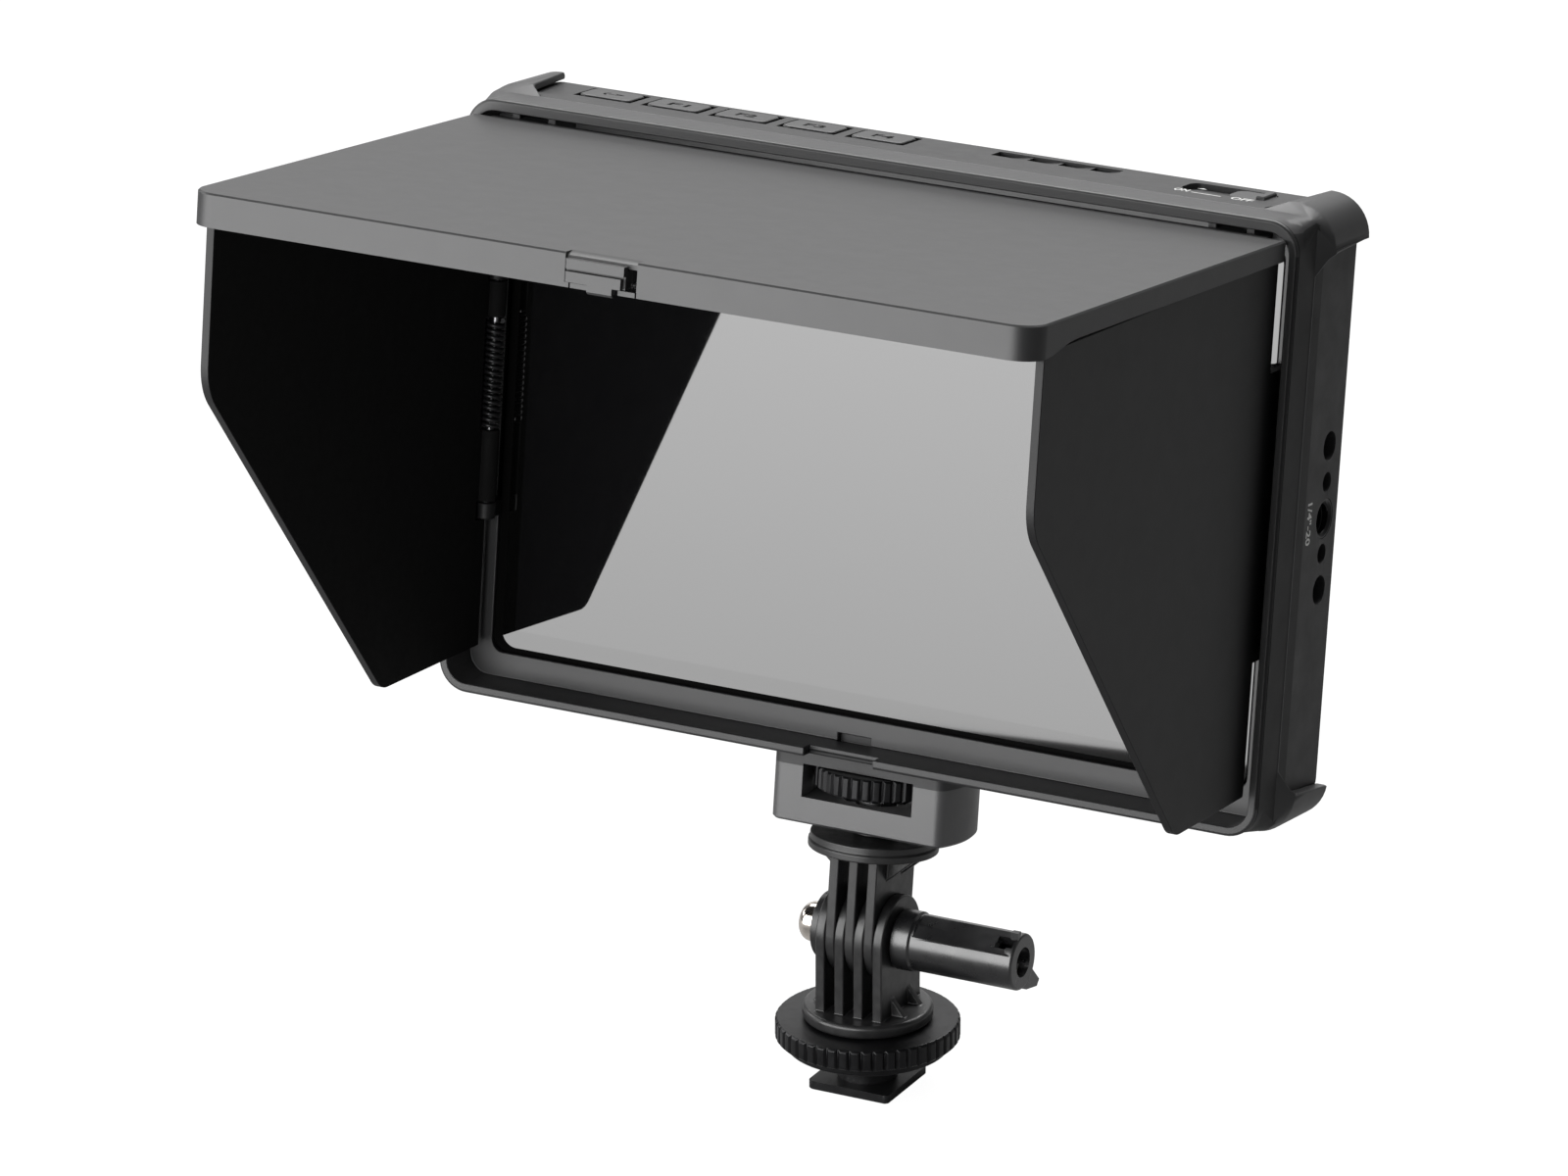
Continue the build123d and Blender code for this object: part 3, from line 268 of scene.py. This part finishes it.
def surface(name, base, tone, metallic=0.0, rough=0.5, rough_swing=0.06, grain_mm=0.3,
            depth_mm=0.01, specular=0.5, mottle_mm=6.0, sheen=0.0):
    """Shared build of a finish: two near colours mottled, a fine grain in relief, uneven gloss.

    The real grains are a few hundredths of a millimetre, too fine to show here, so each is drawn
    several times as coarse.
    """
    finish = bpy.data.materials.new(name)
    tree = emptied(finish)
    place = add(tree, "ShaderNodeTexCoord")
    cloud = add(tree, "ShaderNodeTexNoise", [("Vector", place.outputs["Object"])],
                values={"Scale": 1 / (mottle_mm * MM), "Detail": 3.0, "Roughness": 0.6})
    grain = add(tree, "ShaderNodeTexNoise", [("Vector", place.outputs["Object"])],
                values={"Scale": 1 / (grain_mm * MM), "Detail": 2.0, "Roughness": 0.6})
    tint = add(tree, "ShaderNodeMix", [("Factor", cloud.outputs["Fac"])], data_type="RGBA")
    tint.inputs["A"].default_value = colour(base)
    tint.inputs["B"].default_value = colour(tone)
    uneven = add(tree, "ShaderNodeMapRange", [("Value", cloud.outputs["Fac"])],
                 values={"From Min": 0.3, "From Max": 0.7, "To Min": rough - rough_swing,
                         "To Max": rough + rough_swing})
    relief = add(tree, "ShaderNodeBump", [("Height", grain.outputs["Fac"])],
                 values={"Strength": 0.6, "Distance": depth_mm * MM})
    body = add(tree, "ShaderNodeBsdfPrincipled",
               [("Base Color", tint.outputs["Result"]), ("Roughness", uneven.outputs["Result"]),
                ("Normal", relief.outputs["Normal"])],
               values={"Metallic": metallic, "Specular IOR Level": specular,
                       "Sheen Weight": sheen})
    add(tree, "ShaderNodeOutputMaterial", [("Surface", body.outputs[0])])
    return finish


# Blackened steel: a dark oxide skin over milled metal, smooth with a low gloss.
blackened_steel = surface("blackened_steel", "#1c1c1d", "#272728", metallic=0.6, rough=0.34,
                          grain_mm=0.5, depth_mm=0.004, mottle_mm=3.0)
dressed("shoe_foot", blackened_steel, edge=0.25)


def coil_tree():
    """Node group that winds a round wire into a helix standing on the origin."""
    tree = bpy.data.node_groups.new("coil", "GeometryNodeTree")
    face = tree.interface
    for name in ("Turns", "Radius", "Wire", "Length"):
        face.new_socket(name, in_out="INPUT", socket_type="NodeSocketFloat")
    face.new_socket("Finish", in_out="INPUT", socket_type="NodeSocketMaterial")
    face.new_socket("Geometry", in_out="OUTPUT", socket_type="NodeSocketGeometry")
    take = add(tree, "NodeGroupInput").outputs
    line = add(tree, "GeometryNodeCurveSpiral", [
        ("Rotations", take["Turns"]), ("Start Radius", take["Radius"]),
        ("End Radius", take["Radius"]), ("Height", take["Length"])], values={"Resolution": 28})
    round_wire = add(tree, "GeometryNodeCurvePrimitiveCircle", [("Radius", take["Wire"])],
                     values={"Resolution": 10})
    swept = add(tree, "GeometryNodeCurveToMesh", [
        ("Curve", line.outputs[0]), ("Profile Curve", round_wire.outputs[0])],
        values={"Fill Caps": True})
    plain = add(tree, "GeometryNodeRealizeInstances", [("Geometry", swept.outputs[0])])
    painted = add(tree, "GeometryNodeSetMaterial", [
        ("Geometry", plain.outputs[0]), ("Material", take["Finish"])])
    add(tree, "NodeGroupOutput", [(0, painted.outputs[0])])
    return tree


def evaluated(piece):
    """A plain mesh of what an object's modifiers, or its text, make."""
    bpy.context.view_layer.update()
    depsgraph = bpy.context.evaluated_depsgraph_get()
    return bpy.data.meshes.new_from_object(piece.evaluated_get(depsgraph))


COIL = coil_tree()


def coil(name, place, finish, body, turns, radius, wire, length):
    """A helix, sizes in millimetres, put in place by a matrix and kept as a plain mesh."""
    carrier = placed(name, bpy.data.meshes.new(name))
    winding = carrier.modifiers.new("coil", "NODES")
    winding.node_group = COIL
    sizes = {"Turns": turns, "Radius": radius, "Wire": wire, "Length": length, "Finish": finish}
    for socket in COIL.interface.items_tree:
        if socket.name in sizes:
            winding[socket.identifier] = sizes[socket.name]
    mesh = evaluated(carrier)
    carrier.modifiers.clear()
    mesh.transform(place @ Matrix.Diagonal((MM, MM, MM, 1)))
    for face in mesh.polygons:
        face.use_smooth = True
    carrier.data = mesh
    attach(carrier, body)
    return carrier


coil("stem_thread", at(0, 0, 2.2), blackened_steel, "base",
     turns=4.7, radius=6.14, wire=0.14, length=6.0)

# ---------------------------------------------------------------- lock ring and its washer
# Both are turned from aluminium bar and anodised black.  The ring, knurled on its rim, runs on the
# stem's thread, and the washer under it presses on the shoe.

# Black anodised aluminium: a satin dye-black skin with a faint metallic glint on the knurls.
black_anodised = surface("black_anodised_aluminium", "#0e0e0f", "#161618", metallic=0.55,
                         rough=0.36, grain_mm=0.25, depth_mm=0.006, mottle_mm=2.0)
dressed("lock_ring", black_anodised, edge=0.12)
dressed("shoe_washer", black_anodised, edge=0.15)

# ---------------------------------------------------------------- clevis arm and clamp
# Both halves of the arm are moulded in glass-filled nylon, with flange, prongs and gussets in one
# piece.  A bolt through the seven prongs clamps them, with a domed nut and a barrel handle.

# Glass-filled nylon: black, a little glossy, with the fine flow marks of a filled plastic.
filled_nylon = surface("glass_filled_nylon", "#161617", "#1d1d1d", rough=0.36, rough_swing=0.08,
                       grain_mm=0.35, depth_mm=0.012, mottle_mm=2.5)
dressed("lower_clevis", filled_nylon, edge=0.3, segments=3)
dressed("upper_clevis", filled_nylon, edge=0.3, segments=3)

# Gloss ABS: polished in the mould and handled since, so it carries long soft highlights.
gloss_abs = surface("gloss_black_abs", "#121213", "#171718", rough=0.3, rough_swing=0.05,
                    grain_mm=1.2, depth_mm=0.02, specular=0.9, mottle_mm=5.0)
dressed("clamp_handle", gloss_abs, edge=0.2, segments=3)

# Chromium plate: bright, with a slightly warm reflection.
chrome_plate = surface("chromium_plate", "#d8d0c8", "#e4dcd4", metallic=1.0, rough=0.12,
                       rough_swing=0.04, grain_mm=1.0, depth_mm=0.004, mottle_mm=1.5)
dressed("pivot_nut", chrome_plate, edge=0.1)

# Zinc-plated steel: the bright grey of the clamp bolt and of the small screws and pins above it.
zinc_steel = surface("zinc_plated_steel", "#8f8f90", "#a2a2a4", metallic=1.0, rough=0.3,
                     grain_mm=0.4, depth_mm=0.004, mottle_mm=1.5)
for node in ("clamp_bolt", "swivel_screw", "mount_screw", "case_screws", "lid_pins",
             "flap_pin_left", "flap_pin_right", "base_insert"):
    dressed(node, zinc_steel, edge=0.05, segments=1)

# ---------------------------------------------------------------- mount box and thumbwheel
# A moulded ABS box under the monitor, closed by a cover.  It holds a captive 1/4 inch screw, which
# a knurled aluminium wheel turns through the box's window.

# Moulded ABS: a fine spark-eroded grain from the mould, matt to satin black.
moulded_abs = surface("moulded_black_abs", "#1c1c1d", "#222223", rough=0.52, rough_swing=0.05,
                      grain_mm=0.32, depth_mm=0.02, specular=0.45, mottle_mm=7.0)
# Box ABS: the same plastic from another mould, a shade greyer and a little shinier.
box_abs = surface("grey_black_box_abs", "#303031", "#373738", rough=0.42, rough_swing=0.05,
                  grain_mm=0.3, depth_mm=0.02, specular=0.85, mottle_mm=7.0)
dressed("mount_box", box_abs, edge=0.35, segments=3)
dressed("mount_cover", moulded_abs, edge=0.2)
dressed("thumbwheel", black_anodised, edge=0.12)

# ---------------------------------------------------------------- monitor housing
# Two moulded ABS halves, screwed together from the back, with a soft rubber band and four corner
# guards in one piece pressed over their joint.  The whole head leans back on its arm.
TILT_AXIS_Z = 33.3
LEAN = math.radians(-7.6)
HOOD_FROM_AXIS = (0, -19.76, 40)

# The head's own place: x across, y back from the hood's front, z up from the hood's lower edge.
HEAD = at(0, 0, TILT_AXIS_Z) @ Matrix.Rotation(LEAN, 4, "X") @ at(*HOOD_FROM_AXIS)
HEAD_MM = HEAD @ Matrix.Diagonal((MM, MM, MM, 1))
to_head = HEAD.inverted()


def two_tone(piece, second, chosen):
    """A second finish on the faces that chosen(middle in the head's millimetres, normal) picks."""
    piece.data.materials.append(second)
    for face in piece.data.polygons:
        if chosen((to_head @ face.center) / MM, face.normal):
            face.material_index = 1


# Soft TPU: a matt smooth rubber, deeper black than the housing, partly its own colour and partly
# painted shade.
tpu_with_painted_shade = surface("black_tpu_with_painted_shade", "#070708", "#0b0b0c", rough=0.55, rough_swing=0.03,
                   grain_mm=0.5, depth_mm=0.008, specular=0.3, mottle_mm=9.0)
# Lit TPU: the same rubber painted greyer and a little shinier where light falls, a painted
# highlight.
lit_tpu = surface("painted_lit_black_tpu", "#1d1d1e", "#232324", rough=0.46, rough_swing=0.03,
                    grain_mm=0.5, depth_mm=0.008, specular=0.45, mottle_mm=9.0, sheen=0.05)
dressed("rear_shell", moulded_abs, edge=0.25)
# The front half's sides are painted the band's darker black beside them, as painted shade.
front = dressed("front_housing", moulded_abs, edge=0.2)
two_tone(front, tpu_with_painted_shade, lambda middle, normal: abs(normal.x) > 0.7)
# The corner guards behind the band, and its top, take the lit rubber as a painted highlight.
GUARDS_FROM_Y = 9.6
band = dressed("bumper", tpu_with_painted_shade, edge=0.3, clamp=False)
two_tone(band, lit_tpu, lambda middle, normal: middle.y > GUARDS_FROM_Y or normal.z > 0.6)

# ---------------------------------------------------------------- screen
# A pane of toughened glass, printed dark round its border, over the display's panel.  Its edge is
# painted shade in matt black, and the boards and sockets sit behind it in the housing.
GLASS_SIZE = (173.6, 112.4)
GLASS_MID_Z = 62.1
GLASS_BEND = 4.6

# Toughened cover glass: near black, it mirrors the pale studio, a little less in its border, and
# its painted reflection fades lower down.
screen_glass = bpy.data.materials.new("toughened_cover_glass")
tree = emptied(screen_glass)
spot = add(tree, "ShaderNodeUVMap", uv_map="panel")
split = add(tree, "ShaderNodeSeparateXYZ", [(0, spot.outputs[0])])
smear = add(tree, "ShaderNodeTexNoise", [(0, spot.outputs[0])],
            values={"Scale": 3.0, "Detail": 2.0, "Roughness": 0.5})


def within(tree, spot, half_x, half_z, radius, aside=0.0):
    """Mask of a rounded rectangle near the pane's middle, its sizes in millimetres."""
    centred = add(tree, "ShaderNodeVectorMath", [(0, spot)], operation="SUBTRACT",
                  values={1: (0.5 + aside / GLASS_SIZE[0], 0.5, 0)})
    real = add(tree, "ShaderNodeVectorMath", [(0, centred.outputs[0])], operation="MULTIPLY",
               values={1: (*GLASS_SIZE, 0)})
    one_side = add(tree, "ShaderNodeVectorMath", [(0, real.outputs[0])], operation="ABSOLUTE")
    past = add(tree, "ShaderNodeVectorMath", [(0, one_side.outputs[0])], operation="SUBTRACT",
               values={1: (half_x - radius, half_z - radius, 0)})
    outer = add(tree, "ShaderNodeVectorMath", [(0, past.outputs[0])], operation="MAXIMUM",
                values={1: (0, 0, 0)})
    reach = add(tree, "ShaderNodeVectorMath", [(0, outer.outputs[0])], operation="LENGTH")
    return add(tree, "ShaderNodeMath", [(0, reach.outputs["Value"])], operation="LESS_THAN",
               values={1: radius}).outputs[0]


# The picture's field is a little brighter than the printed border round it.
field = within(tree, spot.outputs[0], half_x=80.5, half_z=50.0, radius=1.0)
# Painted reflection: the coat weakens from the pane's top towards its foot.
painted_reflection_fade = add(tree, "ShaderNodeMapRange", [("Value", split.outputs["Y"])],
            values={"To Min": 0.45, "To Max": 1.0})
lift = add(tree, "ShaderNodeMapRange", [("Value", field)], values={"To Min": 0.82, "To Max": 1.0})
coat_with_painted_fade = add(tree, "ShaderNodeMath", [(0, painted_reflection_fade.outputs["Result"]), (1, lift.outputs["Result"])],
            operation="MULTIPLY")
panel_tone = add(tree, "ShaderNodeMix", [("Factor", field)], data_type="RGBA")
panel_tone.inputs["A"].default_value = colour("#040404")
panel_tone.inputs["B"].default_value = colour("#0b0b0c")
haze = add(tree, "ShaderNodeMapRange", [("Value", smear.outputs["Fac"])],
           values={"To Min": 0.015, "To Max": 0.035})
body = add(tree, "ShaderNodeBsdfPrincipled", [
    ("Base Color", panel_tone.outputs["Result"]), ("Roughness", haze.outputs["Result"]),
    ("Coat Weight", coat_with_painted_fade.outputs[0])],
    values={"IOR": 1.5, "Coat Roughness": 0.02})
# Painted shade: the pane's edge is matt black and mirrors nothing, standing for the dark gap round
# it.
gap_shade_border = add(tree, "ShaderNodeBsdfDiffuse", values={"Color": colour("#0a0a0a")})
bare = within(tree, spot.outputs[0], half_x=85.2, half_z=53.7, radius=3.4, aside=1.8)
shown = add(tree, "ShaderNodeMixShader", [(0, bare), (1, gap_shade_border.outputs[0]), (2, body.outputs[0])])
add(tree, "ShaderNodeOutputMaterial", [("Surface", shown.outputs[0])])


def rounded_slab(name, width, height, radius, steps, mid_z):
    """Rounded plate parallel to the screen, its steps (inset, depth) from front to back."""
    corner_signs = ((1, 1), (-1, 1), (-1, -1), (1, -1))
    points_each = 7
    form = bmesh.new()
    rings = []
    for inset, depth in steps:
        ring = []
        for quarter, (sx, sz) in enumerate(corner_signs):
            for step in range(points_each):
                turn = math.radians(90 * quarter + 90 / (points_each - 1) * step)
                ring.append(form.verts.new((
                    sx * (width / 2 - radius) + (radius - inset) * math.cos(turn), depth,
                    mid_z + sz * (height / 2 - radius) + (radius - inset) * math.sin(turn))))
        rings.append(ring)
    count = len(rings[0])
    for near, far in zip(rings[:-1], rings[1:]):
        for i in range(count):
            form.faces.new((near[i], near[(i + 1) % count], far[(i + 1) % count], far[i]))
    form.faces.new(rings[0])
    form.faces.new(list(reversed(rings[-1])))
    bmesh.ops.recalc_face_normals(form, faces=form.faces)
    chart = form.loops.layers.uv.new("panel")
    for face in form.faces:
        for loop in face.loops:
            x, _, z = loop.vert.co
            loop[chart].uv = (0.5 + x / width, 0.5 + (z - mid_z) / height)
    mesh = as_mesh(form, name)
    mesh.transform(HEAD_MM)
    return placed(name, mesh)


# The pane sits behind the tray's opening and stands forward through it, nearly flush with the tray.
PANE_STEPS = ((1.6, 10.45), (1.4, 10.65), (1.4, 14.45), (0, 14.5), (0, 15.6))
pane = rounded_slab("cover_glass_pane", *GLASS_SIZE, GLASS_BEND, PANE_STEPS, GLASS_MID_Z)
pane.data.materials.append(screen_glass)
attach(pane, "monitor")
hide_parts("cover_glass")

# Polariser film: the panel's smooth dark face, with a dull gloss.
lcd_film = surface("lcd_film", "#08080a", "#0c0c0f", rough=0.2, mottle_mm=20.0)
for node in ("lcd_panel", "backlight"):
    dressed(node, lcd_film, edge=0)
# Solder mask: the boards' dark green lacquer, half glossy.
solder_mask = surface("green_solder_mask", "#0c3a22", "#0f4a2b", rough=0.35, mottle_mm=3.0)
for node in ("main_board", "key_board"):
    dressed(node, solder_mask, edge=0)
# Nickel plate: the sockets' pressed shells, a soft grey metal shine.
plated_shell = surface("nickel_plated_shell", "#9a9a98", "#a8a8a6", metallic=1.0, rough=0.25)
dressed("hdmi_sockets", plated_shell, edge=0.1)
for node in ("dc_jack", "headphone_jack", "power_switch"):
    dressed(node, moulded_abs, edge=0.1)
dressed("side_insert", black_anodised, edge=0.05)
# The insert's thread shows as a coil that lies across the head.
LYING = Matrix.Rotation(math.radians(90), 4, "Y")
SIDE_INSERT_AT = (84.3, 23.5, 61.35)
coil("side_thread_ridge", HEAD @ at(*SIDE_INSERT_AT) @ LYING, black_anodised, "monitor",
     turns=5.7, radius=3.12, wire=0.2, length=7.2)
dressed("battery_plate", moulded_abs, edge=0.2)
# Gold-plated brass: the battery's contacts, warm and bright.
brass = surface("gold_plated_brass", "#b08a3c", "#bd9848", metallic=1.0, rough=0.25)
dressed("battery_contacts", brass, edge=0.05)

# ---------------------------------------------------------------- keys and sliders
# Five key caps on top, the power slider beside them and the battery's release on the back, moulded
# in ABS.  Each cap's collar holds it from inside in the rear shell's opening.

# Satin ABS: a smoother mould than the housing's, so the caps are a shade lighter and glossier.
key_abs = surface("satin_key_abs", "#222223", "#282829", rough=0.42, rough_swing=0.04,
                  grain_mm=0.4, depth_mm=0.012, specular=0.6)
# Painted shade: a dead matt black for the keys' sides, down in their gaps, and inside the hood.
painted_shade_black = surface("painted_gap_shade_black", "#060606", "#080808", rough=0.8, specular=0.15)
COLLARS_BELOW_Z = 123
COLLAR_DROP = 0.012
for node in ("key_input", "key_f1", "key_f2", "key_f3", "key_f4", "power_slider",
             "battery_release"):
    is_key = node.startswith("key")
    key = dressed(node, key_abs, edge=0.08, segments=1)
    # The keys' sides, down in their gaps, take the painted shade.
    two_tone(key, painted_shade_black, lambda middle, normal: is_key and abs(normal.z) < 0.6)
    # A key's collar hangs a hair below the shell that it rests against.
    for corner in key.data.vertices:
        if is_key and (to_head @ corner.co).z < COLLARS_BELOW_Z * MM:
            corner.co.z -= COLLAR_DROP * MM

# ---------------------------------------------------------------- hood
# A moulded ABS tray round the screen, with a lid hinged on two pins at its top and a flap on a
# sprung pin at each side.  A latch slides in the lid's lip and holds the folded hood shut.

# Hood ABS: an even fine-grained satin, so that the lid takes the top light without streaks.
hood_abs = surface("hood_abs", "#171718", "#1b1b1c", rough=0.46, rough_swing=0.012,
                   grain_mm=0.35, depth_mm=0.02, specular=0.55, mottle_mm=5.0)
tray = dressed("hood_frame", hood_abs, edge=0.2, clamp=False)
dressed("lid", hood_abs, edge=0.3, segments=3)
dressed("lid_latch", hood_abs, edge=0.12)

# Flap ABS: the same plastic painted a shade blacker and duller than the lid, as painted shade.
painted_shade_hood_abs = surface("painted_shade_hood_abs", "#0a0a0b", "#0d0d0e", rough=0.5, rough_swing=0.012,
                   grain_mm=0.35, depth_mm=0.02, specular=0.3, mottle_mm=5.0)


def cut_back(piece, low, high):
    """Cuts a box, its corners in the head's millimetres, out of a piece's own mesh."""
    middle = [(a + b) / 2 for a, b in zip(low, high)]
    sizes = [b - a for a, b in zip(low, high)]
    form = bmesh.new()
    bmesh.ops.create_cube(form, size=1.0)
    bmesh.ops.transform(form, verts=form.verts, matrix=(
        HEAD_MM @ Matrix.Translation(middle) @ Matrix.Diagonal((*sizes, 1))))
    cutter = placed("edge_cutter", as_mesh(form, "edge_cutter"))
    cut = piece.modifiers.new("cut back", "BOOLEAN")
    cut.object = cutter
    cut.solver = "EXACT"
    piece.data = evaluated(piece)
    piece.modifiers.clear()
    bpy.data.objects.remove(cutter)


# Each flap's knuckles and the face that it turns to the screen are painted shade black.
KNUCKLES_WITHIN_X = 87.0
for side, node in ((-1, "flap_left"), (1, "flap_right")):
    flap = dressed(node, painted_shade_hood_abs, edge=0.25)
    two_tone(flap, painted_shade_black, lambda middle, normal: (
        abs(middle.x) < KNUCKLES_WITHIN_X or normal.x * side < -0.9))

# Over and under its hinge the right flap's rear edge is cut back, and light from the pane and from
# the tray's floor shows through.
OVER_HINGE = ((86.0, -0.8, 94.4), (90.0, 12.0, 118.5))
UNDER_HINGE = ((86.0, 1.0, -1.0), (90.0, 12.0, 35.7))
for low, high in (OVER_HINGE, UNDER_HINGE):
    cut_back(flap, low, high)

POSTS_X = (83.9, 88.6)
POSTS_Y = (1.5, 9.8)
POSTS_Z = (20, 116)
RIM_Z = (8, 118)


def painted_shade_near_hinge(middle, normal):
    """Whether a face of the tray is on a hinge post or on the rim outside it."""
    x, y, z = middle
    on_post = (POSTS_X[0] < abs(x) < POSTS_X[1] and POSTS_Y[0] < y < POSTS_Y[1]
               and POSTS_Z[0] < z < POSTS_Z[1])
    on_side_rim = abs(x) > POSTS_X[1] and y < POSTS_Y[1] and RIM_Z[0] < z < RIM_Z[1]
    return on_post or on_side_rim


# The tray is painted the flaps' darker black there, painted shade beside the flaps and hinge posts.
two_tone(tray, painted_shade_hood_abs, painted_shade_near_hinge)

# Blued music wire: dark steel with a cold sheen, for the flaps' torsion springs and the latch's.
spring_wire = surface("blued_music_wire", "#2a2a2b", "#333334", metallic=0.8, rough=0.35)
FLAP_AXIS_X = 86.4
SPRING_FOOT_Z = 55.5
# The two flaps hinge at different depths, so that they fold one in front of the other.
for side, hand, depth in ((-1, "left", 5.9), (1, "right", 7.95)):
    spring = coil("flap_coil_" + hand, HEAD @ at(side * FLAP_AXIS_X, depth, SPRING_FOOT_Z),
                  spring_wire, "monitor", turns=18, radius=1.72, wire=0.47, length=22.2)
    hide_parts("flap_spring_" + hand)

# The latch's spring lies across in the lip of the open lid, which slopes a little about its pins.
LID_AXIS_Y = 2.8
LID_AXIS_Z = 119.4
LID_SLOPE = math.radians(-0.67)
OPEN_LID = (HEAD @ at(0, LID_AXIS_Y, LID_AXIS_Z) @ Matrix.Rotation(LID_SLOPE, 4, "X")
            @ at(0, -LID_AXIS_Y, -LID_AXIS_Z))
LATCH_SPRING_AT = (5.5, -111.85, 116.2)
spring = coil("latch_coil", OPEN_LID @ at(*LATCH_SPRING_AT) @ LYING, spring_wire, "latch",
              turns=5, radius=0.55, wire=0.14, length=3.3)
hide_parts("latch_spring")

# ---------------------------------------------------------------- markings
# The keys' names, the power slider's two ends and the thread's size, screen-printed in ink that
# stands a few hundredths of a millimetre proud.

# Marking ink: a thin matt print, pale grey on the case and black on the keys.
pale_ink = surface("pale_grey_marking_ink", "#c4c4c2", "#cfcfcd", rough=0.6, grain_mm=0.2,
                   depth_mm=0.002)
dark_ink = surface("black_marking_ink", "#070707", "#0a0a0a", rough=0.85, specular=0.05,
                   grain_mm=0.2, depth_mm=0.002)
INK_LIFT = 0.01
STROKE_GAIN = 0.02
ON_TOP = Matrix.Identity(3)
ON_RIGHT = Matrix(((0, 0, 1), (0, 1, 0), (-1, 0, 0)))


def marking(name, text, size, middle, facing, finish, body):
    """Text of a given width and height in millimetres, raised by a print's thickness."""
    line = bpy.data.curves.new(name, "FONT")
    line.body = text
    line.resolution_u = 3
    line.extrude = INK_LIFT
    line.offset = STROKE_GAIN
    proxy = placed(name, line)
    mesh = evaluated(proxy)
    bpy.data.objects.remove(proxy)
    xs = [v.co.x for v in mesh.vertices]
    ys = [v.co.y for v in mesh.vertices]
    centre = Vector(((min(xs) + max(xs)) / 2, (min(ys) + max(ys)) / 2, 0))
    scale = (size[0] / (max(xs) - min(xs)), size[1] / (max(ys) - min(ys)), 1)
    mesh.transform(HEAD_MM @ Matrix.Translation(middle) @ facing.to_4x4()
                   @ Matrix.Diagonal((*scale, 1)) @ Matrix.Translation(-centre))
    mesh.materials.clear()
    mesh.materials.append(finish)
    piece = placed(name, mesh)
    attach(piece, body)


KEY_TOP = 124.105
CASE_TOP = 123.855
CASE_SIDE = 92.305
KEYS_FROM_X = -77.5
KEY_PITCH = 15.5
HALF_KEY = 5.95
KEY_MIDDLE_Y = 23.4
for i in range(1, 5):
    middle = (KEYS_FROM_X + KEY_PITCH * i + HALF_KEY, KEY_MIDDLE_Y, KEY_TOP)
    marking(f"key_name_f{i}", f"F{i}", (4.4, 2.7), middle, ON_TOP, dark_ink, f"key_f{i}")
# An arrow into a bracket stands for the input.
marking("key_name_input", "(->", (4.6, 2.3), (-71.2, KEY_MIDDLE_Y, KEY_TOP), ON_TOP, dark_ink,
        "key_input")
marking("mark_on", "ON", (3.1, 2.2), (59.0, 18.0, CASE_TOP), ON_TOP, pale_ink, "monitor")
marking("mark_travel", "-", (6.4, 0.4), (64.6, 17.2, CASE_TOP), ON_TOP, pale_ink, "monitor")
marking("mark_off", "OFF", (4.6, 2.2), (72.2, 17.6, CASE_TOP), ON_TOP, pale_ink, "monitor")
marking("mark_thread", "1/4\"-20", (8.6, 2.2), (CASE_SIDE, 16.0, 61.5), ON_RIGHT, pale_ink,
        "monitor")

# A small triangle beside the power slider shows which way it goes.
POINTER = ((60.9, 21.3), (62.9, 21.3), (61.9, 22.2))
form = bmesh.new()
low_ring, high_ring = ([form.verts.new((x, y, CASE_TOP + lift)) for x, y in POINTER]
                       for lift in (-INK_LIFT, INK_LIFT))
form.faces.new(list(reversed(low_ring)))
form.faces.new(high_ring)
for i in range(3):
    form.faces.new((low_ring[i], low_ring[(i + 1) % 3], high_ring[(i + 1) % 3], high_ring[i]))
mesh = as_mesh(form, "mark_pointer")
mesh.transform(HEAD_MM)
mesh.materials.append(pale_ink)
pointer = placed("mark_pointer", mesh)
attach(pointer, "monitor")

# ---------------------------------------------------------------- sizes
# The dressed part's box, in metres.
low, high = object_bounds()
